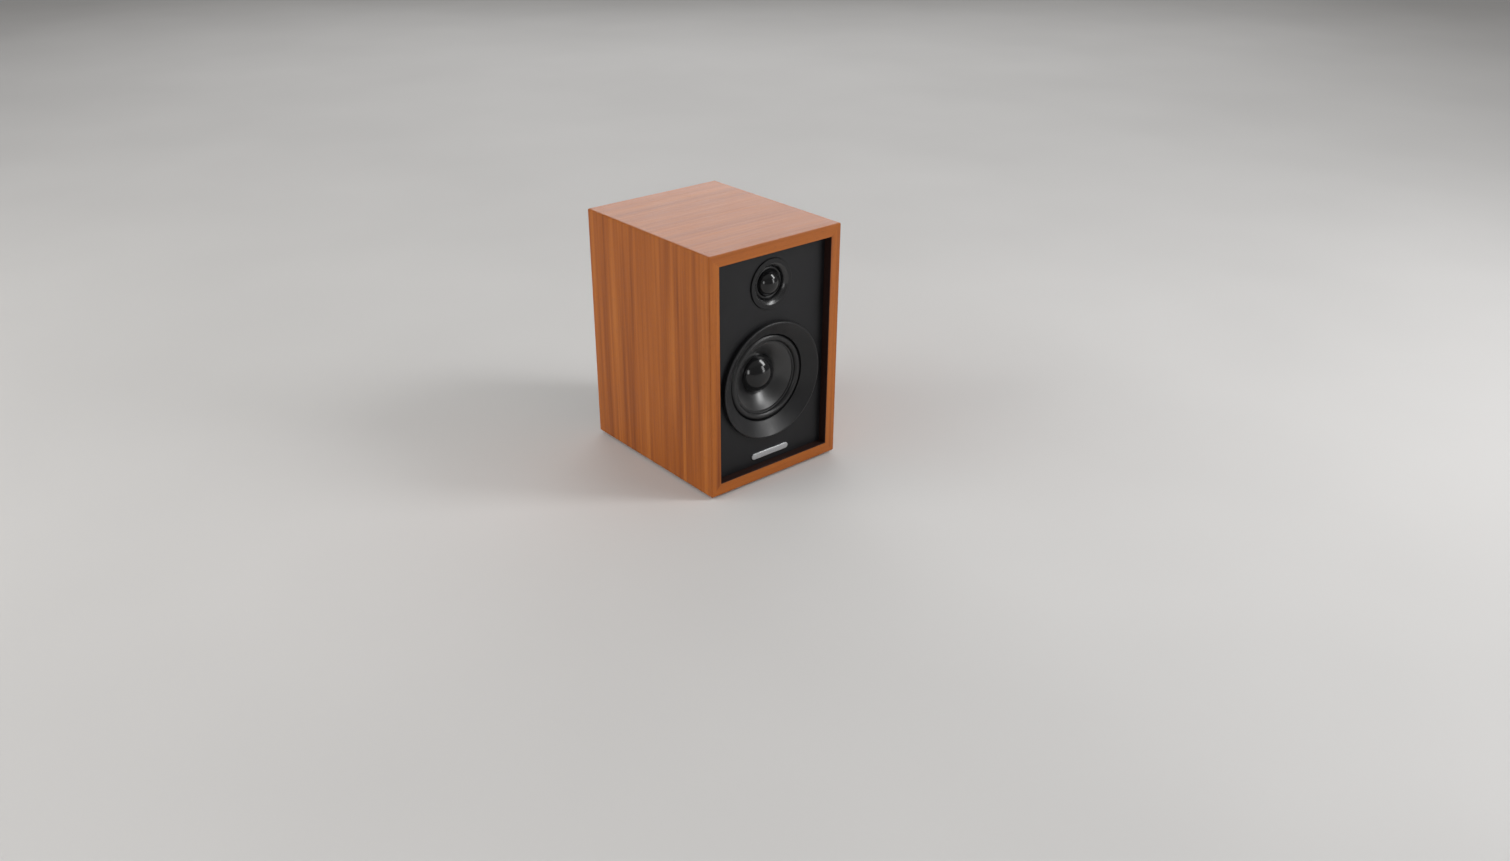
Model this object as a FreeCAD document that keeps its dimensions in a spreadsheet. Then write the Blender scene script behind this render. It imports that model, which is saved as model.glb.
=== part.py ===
"""A two-way bookshelf loudspeaker: a veneered cabinet, a 100 mm woofer, a 25 mm dome tweeter, a
rear reflex port, a rear terminal cup with two binding posts, and the crossover and leads inside.

Frame: X to the listener's right, -Y to the listener, +Z up, origin under the middle of the cabinet
at the level that its rubber feet stand on. Lengths are in millimetres. Drivers are drawn in
(radius, forward) coordinates whose zero is the front face of the baffle; the binding posts in
(radius, outward) ones from the floor of the cup."""

import FreeCAD, Part

import math
import os
import re

import Sketcher
from FreeCAD import Placement, Rotation, Vector

DIMENSIONS = {
    # cabinet wrap and the panels set into it
    "cab_width": 158.0,
    "cab_depth": 190.0,
    "cab_height": 240.0,
    "wall": 12.0,
    "corner_round": 1.6,
    "edge_round": 0.8,
    "baffle_recess": 8.5,
    "baffle_thick": 15.0,
    "back_recess": 4.0,
    "back_thick": 12.0,
    "fit_gap": 0.3,
    "cleat": 10.0,
    "brace_thick": 8.0,
    "brace_level": 152.0,
    "brace_rim": 12.0,
    "brace_rib": 14.0,
    "foot_height": 2.5,
    "foot_radius": 8.0,
    "foot_inset": 14.0,
    "plate_level": 21.6,
    "plate_length": 46.0,
    "plate_width": 6.0,
    "plate_thick": 1.2,
    "back_screw_reach": 61.0,
    "back_screw_length": 18.0,
    "back_screw_radius": 1.6,
    "back_screw_head": 3.5,
    "back_screw_crown": 2.4,
    "pad_thick": 10.0,
    "pad_round": 3.0,
    "side_pad_front": -54.0,
    "side_pad_back": 64.0,
    "side_pad_level": 6.0,
    "side_pad_height": 126.0,
    "top_pad_front": -46.0,
    "top_pad_back": 58.0,
    "top_pad_half": 50.0,
    # woofer
    "woofer_level": 98.5,
    "trim_radius": 59.0,
    "trim_proud": 5.0,
    "trim_round": 1.2,
    "trim_crest": 57.3,
    "trim_mouth": 44.2,
    "trim_depth": 4.2,
    "trim_seat": 5.2,
    "trim_shell": 1.8,
    "trim_edge": 0.5,
    "skirt_inner": 52.8,
    "skirt_outer": 54.6,
    "skirt_depth": 4.5,
    "woofer_bore": 46.0,
    "woofer_rebate": 55.0,
    "rebate_depth": 9.5,
    "flange_front": 8.0,
    "flange_radius": 54.2,
    "basket_metal": 1.0,
    "basket_lip": 2.0,
    "basket_hole": 15.0,
    "basket_mouth": 43.6,
    "basket_waist": 31.5,
    "landing_depth": 29.5,
    "landing_inner": 24.8,
    "seat_depth": 34.0,
    "window_inner": 33.2,
    "window_outer": 43.0,
    "window_half": 33.0,
    "screw_circle": 50.8,
    "screw_clearance": 2.0,
    "woofer_screw_length": 6.8,
    "woofer_screw_head": 2.4,
    "woofer_screw_crown": 1.8,
    "woofer_screw_radius": 1.6,
    "gasket_outer": 48.2,
    "lip_thick": 0.6,
    "roll_middle": 40.1,
    "roll_half": 3.4,
    "roll_rise": 3.5,
    "cone_rim": 36.7,
    "cone_face": 34.5,
    "cone_neck_depth": 25.0,
    "cone_curve": 60.0,
    "cone_skin": 0.7,
    "cap_radius": 19.5,
    "cap_rise": 11.5,
    "cap_skin": 0.5,
    "coil_radius": 12.9,
    "former_skin": 0.3,
    "former_top": 21.5,
    "former_end": 45.0,
    "winding_thick": 0.6,
    "winding_top": 32.0,
    "winding_end": 40.0,
    "spider_skin": 0.5,
    "spider_wave": 1.0,
    "spider_first": 13.6,
    "spider_last": 24.6,
    "top_plate_radius": 30.0,
    "top_plate_thick": 4.0,
    "gap_radius": 14.1,
    "magnet_radius": 35.0,
    "magnet_hole": 17.0,
    "magnet_thick": 12.0,
    "magnet_chamfer": 0.8,
    "yoke_radius": 32.5,
    "yoke_thick": 4.0,
    "yoke_chamfer": 2.0,
    "pole_radius": 12.0,
    "pole_top": 33.5,
    # tweeter
    "tweeter_level": 195.4,
    "face_radius": 24.4,
    "face_thick": 3.0,
    "face_seat": 1.5,
    "horn_mouth": 20.2,
    "horn_throat": 15.6,
    "horn_depth": 3.6,
    "horn_curve": 9.0,
    "face_round": 0.4,
    "barrel_radius": 18.8,
    "barrel_end": 8.0,
    "pot_radius": 17.0,
    "pot_bore": 13.9,
    "pot_front": 4.9,
    "pot_end": 17.0,
    "pot_floor": 2.5,
    "pot_clearance": 0.2,
    "dome_radius": 12.9,
    "dome_base": 3.9,
    "dome_rise": 9.4,
    "dome_skin": 0.3,
    "dome_coil_end": 9.0,
    "dome_skirt": 0.6,
    "dome_roll_reach": 1.4,
    "dome_roll_half": 1.2,
    "dome_roll_rise": 1.1,
    "dome_rim": 0.7,
    "pole_plate_radius": 12.1,
    "pole_plate_thick": 2.0,
    "slug_radius": 11.0,
    "clamp_radius": 27.0,
    "clamp_metal": 1.2,
    "clamp_screw_circle": 23.0,
    "clamp_clearance": 0.4,
    "clamp_opening": 11.5,
    "clamp_screw_length": 8.0,
    "clamp_screw_head": 2.4,
    "clamp_screw_crown": 1.6,
    "clamp_screw_radius": 1.3,
    # driver terminals
    "strip_thick": 2.6,
    "strip_depth": 9.0,
    "strip_half": 11.0,
    "strip_sink": 1.0,
    "strip_setback": 28.2,
    "card_half_x": 8.0,
    "card_half_z": 3.5,
    "card_thick": 1.6,
    "tab_reach": 4.5,
    "tab_half": 2.4,
    "tab_thick": 0.8,
    "tab_length": 9.9,
    "tab_setback": 32.2,
    "pin_reach": 5.0,
    "pin_half": 1.4,
    "pin_thick": 0.6,
    "pin_length": 7.4,
    # reflex port
    "port_level": 187.0,
    "port_radius": 17.5,
    "port_wall": 2.0,
    "port_flare": 6.5,
    "port_flange_radius": 27.0,
    "port_flange_thick": 2.0,
    "port_length": 86.0,
    "port_rim_round": 0.8,
    "port_clearance": 0.3,
    # terminal cup and binding posts
    "cup_level": 62.0,
    "cup_gasket": 0.5,
    "cup_flange_x": 40.0,
    "cup_flange_z": 28.0,
    "cup_flange_thick": 2.0,
    "cup_open_x": 31.0,
    "cup_open_z": 19.0,
    "cup_wall": 2.0,
    "cup_depth": 24.0,
    "cup_floor": 3.0,
    "cup_screw_x": 36.0,
    "cup_screw_z": 24.0,
    "cup_screw_hole": 1.5,
    "cup_screw_head": 2.6,
    "cup_screw_crown": 1.4,
    "cup_screw_radius": 1.4,
    "cup_screw_length": 11.0,
    "cup_flange_corner": 6.0,
    "cup_shell_corner": 5.0,
    "cup_well_corner": 3.5,
    "cup_clearance": 0.4,
    "mark_half": 2.5,
    "mark_half_width": 0.6,
    "mark_rise": 0.6,
    "mark_level": 12.0,
    "post_reach": 9.525,
    "post_radius": 3.0,
    "banana_radius": 2.0,
    "banana_depth": 13.0,
    "post_top": 16.3,
    "post_flange_radius": 5.0,
    "collar_radius": 6.0,
    "collar_thick": 2.5,
    "flange_thick": 1.2,
    "washer_thick": 1.0,
    "tail_radius": 2.5,
    "tail_end": 9.0,
    "thread_gap": 0.05,
    "cap_outer": 6.2,
    "cap_end": 19.5,
    "cap_mouth": 2.3,
    "wire_hole": 1.3,
    "wire_hole_height": 5.4,
    "tip_chamfer": 0.4,
    "cap_round": 1.2,
    "cap_chamfer": 0.5,
    "mouth_chamfer": 0.8,
    "lid_gap": 0.1,
    "flute_radius": 1.3,
    "flute_offset": 0.75,
    "nut_radius": 4.6,
    "nut_thick": 4.0,
    "tag_radius": 4.4,
    "tag_thick": 0.6,
    "tag_half": 1.5,
    "tag_length": 10.0,
    # crossover
    "standoff": 5.0,
    "board_thick": 1.6,
    "board_half": 42.0,
    "board_front": -10.0,
    "board_back": 54.0,
    "leg_radius": 3.5,
    "leg_inset": 5.0,
    "spool_rim": 1.5,
    "air_coil_radius": 18.0,
    "air_coil_hole": 8.0,
    "air_coil_height": 16.0,
    "core_coil_radius": 11.0,
    "core_coil_hole": 4.0,
    "core_coil_height": 12.0,
    "film_radius": 7.0,
    "can_radius": 6.5,
    "capacitor_length": 26.0,
    "capacitor_round": 0.8,
    "resistor_height": 9.0,
    "lead_radius": 1.0,
    "tinsel_radius": 0.5,
}
FIRST_NAMES = sorted(DIMENSIONS, key=len, reverse=True)
ALIAS = re.compile("|".join(rf"\b{name}\b" for name in FIRST_NAMES))
BAFFLE_FRONT = "(baffle_recess - cab_depth / 2)"
BACK_FACE = "(cab_depth / 2 - back_recess)"
CUP_FACE = f"({BACK_FACE} + cup_gasket + cup_flange_thick)"
CUP_FLOOR = f"({CUP_FACE} - cup_depth)"
FLOOR = "(foot_height + wall)"
WOOFER_SCREWS = (45, 135, 225, 315)
TWEETER_SCREWS = (90, 210, 330)
BACK_SCREW_LEVELS = (22, 87, 153, 218)
SIDES = {"red": 1, "black": -1}
CORNERS = ((1, 1), (-1, 1), (-1, -1), (1, -1))
DIAGONAL = math.sqrt(0.5)
FLUTES = 12
SPIDER_FOLDS = 6

# parts of a screw, as shares of its head's radius, its crown or its shank
RECESS_ARM = 0.16
RECESS_REACH = 0.62
RECESS_DEPTH = 0.55
CROWN_DOME = 0.35
POINT_LENGTH = 1.5
COUNTERSINK_RIM = 0.3

doc = FreeCAD.newDocument("BookshelfLoudspeaker")
sheet = doc.addObject("Spreadsheet::Sheet", "Dim")
for row, (name, value) in enumerate(DIMENSIONS.items(), 1):
    sheet.set(f"A{row}", name)
    sheet.set(f"B{row}", str(value))
    sheet.setAlias(f"B{row}", name)
doc.recompute()
nodes = []


def size(expression):
    """The number that an expression of the sheet's aliases gives."""
    return float(sheet.evalExpression(str(expression)))


def bound(expression):
    """The expression with each alias written as a reference to its cell."""
    return ALIAS.sub(lambda found: "Dim." + found.group(), str(expression))


def bind(item, **cells):
    """Ties properties of a document object to expressions; x, y and z are its position."""
    for key, expression in cells.items():
        item.setExpression("Placement.Base." + key if key in "xyz" else key, bound(expression))


def node(item):
    """Marks a document object as a sub-part that gets a file of its own."""
    nodes.append(item)
    return item


# Primitives and booleans --------------------------------------------------------------------------


def box(name, low, high):
    """A Part::Box between two corners, each given as three expressions."""
    item = doc.addObject("Part::Box", name)
    bind(item, x=low[0], y=low[1], z=low[2])
    spans = [f"({b}) - ({a})" for a, b in zip(low, high)]
    bind(item, Length=spans[0], Width=spans[1], Height=spans[2])
    return item


def rod(name, radius, start, length, along="Y"):
    """A Part::Cylinder from a start point along a positive axis."""
    item = doc.addObject("Part::Cylinder", name)
    turns = {"X": Rotation(Vector(0, 1, 0), 90), "Y": Rotation(Vector(1, 0, 0), -90), "Z": Rotation()}
    item.Placement = Placement(Vector(), turns[along])
    bind(item, x=start[0], y=start[1], z=start[2], Radius=radius, Height=length)
    return item


def cut(name, base, *tools):
    """base less each tool in turn; the last cut carries the name."""
    for number, tool in enumerate(tools, 1):
        item = doc.addObject("Part::Cut", name if number == len(tools) else f"{name}_cut{number}")
        item.Base, item.Tool = base, tool
        base = item
    return base


def fuse(name, *items):
    """One solid from several."""
    item = doc.addObject("Part::MultiFuse", name)
    item.Shapes = list(items)
    return item


def solids(name, shapes):
    """One node of separate solids, set from shapes that are already in place."""
    item = doc.addObject("Part::Feature", name)
    item.Shape = Part.makeCompound(shapes)
    return item


def copies(name, pattern, places):
    """One node of identical solids: a finished body's shape repeated at each placement."""
    doc.recompute()
    return solids(name, [pattern.Shape.transformed(place.toMatrix(), copy=True) for place in places])


# Sketched bodies ----------------------------------------------------------------------------------


def arc_radius(half, rise):
    """The radius of an arc that rises by rise over half its chord."""
    return f"((({half}) ^ 2 + ({rise}) ^ 2) / (2 * ({rise})))"


def draw(body, outline, plane="XY_Plane", name="Outline"):
    """A closed sketch on an origin plane of the body. A corner is (u, v), or (u, v, radius, turn)
    where the edge that arrives at it is an arc; turn is 1 for an arc that bends left on the way and
    -1 for one that bends right."""
    sketch = body.newObject("Sketcher::SketchObject", f"{body.Name}_{name}")
    face = next(f for f in body.Origin.OriginFeatures if f.Role == plane)
    sketch.AttachmentSupport = [(face, "")]
    sketch.MapMode = "FlatFace"
    points = [Vector(size(corner[0]), size(corner[1]), 0) for corner in outline]
    ends = []
    for index, corner in enumerate(outline):
        start, end = points[index - 1], points[index]
        if len(corner) == 2:
            edge = sketch.addGeometry(Part.LineSegment(start, end), False)
            ends.append((edge, 1, 2))
            continue
        radius, turn = size(corner[2]), corner[3]
        chord = end - start
        side = Vector(-chord.y, chord.x, 0).normalize() * turn
        centre = (start + end) * 0.5 + side * math.sqrt(max(radius**2 - chord.Length**2 / 4, 0))
        first, last = (start, end) if turn > 0 else (end, start)
        angles = [math.atan2(point.y - centre.y, point.x - centre.x) for point in (first, last)]
        if angles[1] < angles[0]:
            angles[1] += 2 * math.pi
        circle = Part.Circle(centre, Vector(0, 0, 1), radius)
        edge = sketch.addGeometry(Part.ArcOfCircle(circle, *angles), False)
        ends.append((edge, 1, 2) if turn > 0 else (edge, 2, 1))
        held = sketch.addConstraint(Sketcher.Constraint("Radius", edge, radius))
        sketch.setExpression(f"Constraints[{held}]", bound(corner[2]))
    for index, (edge, _, last) in enumerate(ends):
        following = ends[(index + 1) % len(ends)]
        sketch.addConstraint(Sketcher.Constraint("Coincident", edge, last, following[0], following[1]))
        for axis, line, measure in ((0, -2, "DistanceX"), (1, -1, "DistanceY")):
            if abs(points[index][axis]) < 1e-9:
                sketch.addConstraint(Sketcher.Constraint("PointOnObject", edge, last, line))
                continue
            rule = Sketcher.Constraint(measure, -1, 1, edge, last, points[index][axis])
            held = sketch.addConstraint(rule)
            sketch.setExpression(f"Constraints[{held}]", bound(outline[index][axis]))
    return sketch


def turned(name, outline, forward=None, x="0", y="0", z="0"):
    """A body turned about its local Y axis from an outline of (radius, height) corners. With
    forward, that axis points to the listener from the baffle's front face at the given level."""
    body = doc.addObject("PartDesign::Body", name)
    sketch = draw(body, outline)
    turn = body.newObject("PartDesign::Revolution", name + "_turn")
    turn.Profile = sketch
    turn.ReferenceAxis = (sketch, ["V_Axis"])
    turn.Angle = 360
    if forward:
        body.Placement = Placement(Vector(), Rotation(Vector(0, 0, 1), 180))
        y, z = BAFFLE_FRONT, f"foot_height + {forward}"
    bind(body, x=x, y=y, z=z)
    return body


def pad(body, outline, length, plane="XZ_Plane", name="Pad", reverse=False):
    """A pad of an outline from an origin plane."""
    item = body.newObject("PartDesign::Pad", f"{body.Name}_{name}")
    item.Profile = draw(body, outline, plane, name + "Outline")
    item.Reversed = reverse
    bind(item, Length=length)
    return item


def pocket(body, outline, name, count=1, length=None, offset=None):
    """A pocket of an outline across the local Y axis: right through both ways, or down to a length
    from a height. It is repeated count times round that axis."""
    doc.recompute()
    before = body.Shape.Volume
    item = body.newObject("PartDesign::Pocket", f"{body.Name}_{name}")
    sketch = draw(body, outline, "XZ_Plane", name + "Outline")
    item.Profile = sketch
    if length is None:
        item.Type = "ThroughAll"
        item.SideType = "Symmetric"
    else:
        sketch.setExpression(".AttachmentOffset.Base.z", bound(f"-({offset})"))
        item.Reversed = True
        bind(item, Length=length)
    if count > 1:
        ring = body.newObject("PartDesign::PolarPattern", f"{body.Name}_{name}Ring")
        ring.Originals = [item]
        ring.Axis = (next(f for f in body.Origin.OriginFeatures if f.Role == "Y_Axis"), [""])
        ring.Angle = 360
        ring.Occurrences = count
        body.Tip = ring
    doc.recompute()
    if not body.Shape.Volume < before - 1e-6:
        raise ValueError(f"{body.Name}: {name} cuts nothing")
    return item


def disc(u, v, radius):
    """The outline of a round hole, as four quarter arcs."""
    spots = ((0, -1), (1, 0), (0, 1), (-1, 0))
    return [(f"({u}) + {a} * ({radius})", f"({v}) + {b} * ({radius})", radius, 1) for a, b in spots]


def rounded(half_u, half_v, radius):
    """The outline of a rectangle about the origin with rounded corners, anticlockwise."""
    corners = []
    for u, v in ((1, -1), (1, 1), (-1, 1), (-1, -1)):
        along_u = (f"{u} * (({half_u}) - ({radius}))", f"{v} * ({half_v})")
        along_v = (f"{u} * ({half_u})", f"{v} * (({half_v}) - ({radius}))")
        first, last = (along_u, along_v) if u * v < 0 else (along_v, along_u)
        corners += [first, (*last, radius, 1)]
    return corners


def soften(body, radius, wanted):
    """Rounds the edges of a body's tip that wanted(edge) picks."""
    doc.recompute()
    tip = body.Tip
    names = [f"Edge{n}" for n, edge in enumerate(tip.Shape.Edges, 1) if wanted(edge)]
    item = body.newObject("PartDesign::Fillet", body.Name + "_Fillet")
    item.Base = (tip, names)
    bind(item, Radius=radius)
    return item


def cross_screw(name, head, crown, shank, length, countersunk=False, recess=True):
    """A cross-recess wood screw along local -Y. Its head has radius head and height crown; height 0
    is the underside of the head, or the top of the head where it is countersunk. Without its recess
    it is the shape of its hole."""
    tip = [(0, f"-({length})"), (shank, f"{POINT_LENGTH} * ({shank}) - ({length})")]
    if countersunk:
        top, upper = "0", [(shank, f"-({crown})"), (head, f"-{COUNTERSINK_RIM}"), (head, 0), (0, 0)]
    else:
        top, dome = crown, f"({CROWN_DOME} * ({crown}))"
        upper = [(shank, 0), (head, 0), (head, f"({crown}) - {dome}"), (0, crown, arc_radius(head, dome), 1)]
    body = turned(name, tip + upper)
    arm, reach = f"{RECESS_ARM} * ({head})", f"{RECESS_REACH} * ({head})"
    cross = []
    for a, b in CORNERS:
        near, far = (f"{a} * {arm}", f"{b} * {reach}"), (f"{a} * {reach}", f"{b} * {arm}")
        middle = (f"{a} * {arm}", f"{b} * {arm}")
        cross += [far, middle, near] if a * b > 0 else [near, middle, far]
    if recess:
        pocket(body, cross, "Recess", length=f"{RECESS_DEPTH} * ({crown})", offset=top)
    return body


# Cabinet ------------------------------------------------------------------------------------------


def wrap_panel(name, span_u, span_v, side):
    """One mitred panel of the wrap. span_u and span_v are the half sizes of the wrap along and
    across the panel's outer face; side is the wrap face that it makes."""
    nick = f"corner_round * (1 - {DIAGONAL})"
    outline = [
        (f"-({span_u}) + {nick}", f"({span_v}) - {nick}"),
        (f"-({span_u}) + wall", f"({span_v}) - wall"),
        (f"({span_u}) - wall", f"({span_v}) - wall"),
        (f"({span_u}) - {nick}", f"({span_v}) - {nick}"),
        (f"({span_u}) - corner_round", span_v, "corner_round", 1),
        (f"-({span_u}) + corner_round", span_v),
    ]
    outline[0] += ("corner_round", 1)
    body = doc.addObject("PartDesign::Body", name)
    slab = pad(body, outline, "cab_depth")
    slab.SideType = "Symmetric"
    half, outer = size("cab_depth / 2"), size(span_v)

    def at_an_end(edge):
        points = [vertex.Point for vertex in edge.Vertexes]
        flat = abs(edge.CenterOfMass.y) > half - 1e-6
        level = abs(points[0].z - points[1].z) < 1e-6
        return flat and (level or min(point.z for point in points) > outer - size("corner_round"))

    soften(body, "edge_round", at_an_end)
    turn = {"top": 0, "bottom": 180, "left": 90, "right": -90}[side]
    body.Placement = Placement(Vector(), Rotation(Vector(0, -1, 0), turn))
    bind(body, z="foot_height + cab_height / 2")
    return node(body)


def cabinet_wrap():
    """The veneered wrap: two sides, a top and a bottom, mitred at the corners."""
    wrap_panel("left_side_panel", "cab_height / 2", "cab_width / 2", "left")
    wrap_panel("right_side_panel", "cab_height / 2", "cab_width / 2", "right")
    wrap_panel("top_panel", "cab_width / 2", "cab_height / 2", "top")
    wrap_panel("bottom_panel", "cab_width / 2", "cab_height / 2", "bottom")


def inset_board(name, near, far):
    """A board that fills the wrap's opening between two depths, less the fitting gap."""
    reach, low = "(cab_width / 2 - wall - fit_gap)", f"({FLOOR} + fit_gap)"
    return box(name, (f"-{reach}", near, low), (reach, far, "foot_height + cab_height - wall - fit_gap"))


def front_baffle(pilots):
    """The black baffle, rebated for the woofer and the tweeter."""
    board = inset_board("baffle_board", BAFFLE_FRONT, f"{BAFFLE_FRONT} + baffle_thick")
    face, proud = BAFFLE_FRONT, f"{BAFFLE_FRONT} - 1"
    woofer, tweeter = "foot_height + woofer_level", "foot_height + tweeter_level"
    rebate, barrel = "face_radius + fit_gap", "barrel_radius + clamp_clearance"
    holes = [
        rod("woofer_rebate_cut", "woofer_rebate", (0, proud, woofer), "rebate_depth + 1"),
        rod("woofer_bore_cut", "woofer_bore", (0, face, woofer), "baffle_thick + 1"),
        rod("tweeter_rebate_cut", rebate, (0, proud, tweeter), "face_seat + 1"),
        rod("tweeter_bore_cut", barrel, (0, face, tweeter), "baffle_thick + 1"),
    ]
    return node(cut("front_baffle", board, *holes, *pilots))


def back_panel(*holes):
    """The back panel with its port hole, its terminal window and the holes that its screws fill."""
    board = inset_board("back_board", f"{BACK_FACE} - back_thick", BACK_FACE)
    inner = f"{BACK_FACE} - back_thick - 1"
    start = (0, inner, "foot_height + port_level")
    port = rod("port_cut", "port_radius + port_wall + port_clearance", start, "back_thick + 2")
    reach_x, reach_z = "(cup_open_x + cup_wall + cup_clearance)", "(cup_open_z + cup_wall + cup_clearance)"
    low = (f"-{reach_x}", inner, f"foot_height + cup_level - {reach_z}")
    high = (reach_x, f"{BACK_FACE} + 1", f"foot_height + cup_level + {reach_z}")
    return node(cut("back_panel", board, port, box("cup_cut", low, high), *holes))


def back_panel_screws():
    """Eight countersunk screws through the back panel into the rear cleats, and the holes that they
    fill."""
    sizes = ("back_screw_head", "back_screw_crown", "back_screw_radius", "back_screw_length", True)
    y, reach, foot = size(BACK_FACE), size("back_screw_reach"), size("foot_height")
    spots = [Vector(side * reach, y, foot + level) for level in BACK_SCREW_LEVELS for side in (-1, 1)]
    places = [Placement(spot, Rotation()) for spot in spots]
    holes = copies("back_screw_holes", cross_screw("back_screw_blank", *sizes, recess=False), places)
    node(copies("back_panel_screws", cross_screw("back_screw_pattern", *sizes), places))
    return holes


def corner_cleats(holes):
    """Four upright battens: two behind the baffle and two in front of the back panel."""
    inner, outer = "(cab_width / 2 - wall - cleat)", "(cab_width / 2 - wall)"
    front, rear = f"({BAFFLE_FRONT} + baffle_thick)", f"({BACK_FACE} - back_thick)"
    top, made = "foot_height + cab_height - wall", []
    for label, near, far in (("front", front, f"{front} + cleat"), ("rear", f"{rear} - cleat", rear)):
        for side, low, high in (("left", f"-{outer}", f"-{inner}"), ("right", inner, outer)):
            batten = box(f"cleat_{label}_{side}", (low, near, FLOOR), (high, far, top))
            if label == "rear":
                batten = cut(f"cleat_{label}_{side}_drilled", batten, holes)
            made.append(batten)
    doc.recompute()
    return node(solids("corner_cleats", [item.Shape for item in made]))


def window_brace():
    """A level brace between the drivers, with two windows that let the air and the tweeter leads
    through."""
    reach, level = "(cab_width / 2 - wall)", "(foot_height + brace_level)"
    front = f"({BAFFLE_FRONT} + baffle_thick + cleat)"
    rear = f"({BACK_FACE} - back_thick - cleat)"
    plate = box("brace_plate", (f"-{reach}", front, level), (reach, rear, f"{level} + brace_thick"))
    windows = []
    for label, low, high in (
        ("left", f"-{reach} + brace_rim", "-brace_rib / 2"),
        ("right", "brace_rib / 2", f"{reach} - brace_rim"),
    ):
        near = (low, f"{front} + brace_rim", f"{level} - 1")
        far = (high, f"{rear} - brace_rim", f"{level} + brace_thick + 1")
        windows.append(box(f"brace_window_{label}", near, far))
    return node(cut("window_brace", plate, *windows))


def rubber_feet():
    """Four round rubber feet, softened at the rim that meets the shelf."""
    outline = [(0, 0), ("foot_radius - edge_round", 0), ("foot_radius", "edge_round", "edge_round", 1)]
    outline.append(("foot_radius", "foot_height"))
    pattern = turned("foot_pattern", outline + [(0, "foot_height")])
    upright = Rotation(Vector(1, 0, 0), 90)
    x, y = size("cab_width / 2 - foot_inset"), size("cab_depth / 2 - foot_inset")
    places = [Placement(Vector(a * x, b * y, 0), upright) for a in (-1, 1) for b in (-1, 1)]
    return node(copies("rubber_feet", pattern, places))


def badge_plate():
    """A plain name plate, blank, low on the baffle."""
    body = doc.addObject("PartDesign::Body", "badge_plate")
    pad(body, rounded("plate_length / 2", "plate_width / 2", "plate_width / 2 - 0.01"), "plate_thick")
    front = -size("plate_thick") + 1e-6
    soften(body, "plate_thick / 4", lambda edge: min(vertex.Point.y for vertex in edge.Vertexes) < front)
    bind(body, y=BAFFLE_FRONT, z="foot_height + plate_level")
    return node(body)


def damping_pads():
    """Polyester wadding on both side walls below the brace and under the top."""
    inside, floor = size("cab_width / 2 - wall"), size(FLOOR)
    ceiling = size("foot_height + cab_height - wall")
    thick, near = size("pad_thick"), size("side_pad_front")
    long, tall = size("side_pad_back - side_pad_front"), size("side_pad_height")
    shapes = []
    for low_x in (-inside, inside - thick):
        shapes.append(Part.makeBox(thick, long, tall, Vector(low_x, near, floor + size("side_pad_level"))))
    wide, long = size("2 * top_pad_half"), size("top_pad_back - top_pad_front")
    corner = Vector(-wide / 2, size("top_pad_front"), ceiling - thick)
    shapes.append(Part.makeBox(wide, long, thick, corner))
    softened = [shape.makeFillet(size("pad_round"), shape.Edges) for shape in shapes]
    return node(solids("damping_pads", softened))


# Woofer -------------------------------------------------------------------------------------------


def woofer_trim_ring():
    """The wide conical trim that covers the basket's flange and screws."""
    lip = "trim_proud - trim_round"
    outline = [
        ("trim_radius", 0),
        ("trim_radius", lip),
        ("trim_radius - trim_round", "trim_proud", "trim_round", 1),
        ("trim_crest", "trim_proud"),
        ("trim_mouth + trim_edge", "-trim_depth"),
        ("trim_mouth", "-trim_depth - trim_edge", "trim_edge", 1),
        ("trim_mouth", "-trim_seat"),
        ("trim_mouth + trim_shell", "-trim_seat"),
        ("skirt_inner", "-0.8 * trim_shell"),
        ("skirt_inner", "-skirt_depth"),
        ("skirt_outer", "-skirt_depth"),
        ("skirt_outer", 0),
    ]
    return node(turned("woofer_trim_ring", outline, "woofer_level"))


def plain_ring(name, inner, outer, back, front, level="woofer_level"):
    """A ring of rectangular section between two radii and two depths behind the baffle's face."""
    corners = [(inner, f"-({back})"), (outer, f"-({back})"), (outer, f"-({front})"), (inner, f"-({front})")]
    return turned(name, corners, level)


def woofer_gaskets():
    """The foam ring under the basket's flange, drilled for the screws, and the ring that the trim
    presses on."""
    flange_back, lip_front = "flange_front + basket_metal", "flange_front - lip_thick"
    bore = "woofer_bore + 0.5"
    rear = plain_ring("woofer_rear_gasket", bore, "flange_radius", "rebate_depth", flange_back)
    diagonal = f"screw_circle * {DIAGONAL}"
    pocket(rear, disc(diagonal, diagonal, "screw_clearance"), "ScrewHole", len(WOOFER_SCREWS))
    front = plain_ring("woofer_front_gasket", "trim_mouth + 0.2", "gasket_outer", lip_front, "trim_seat")
    return node(rear), node(front)


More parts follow.
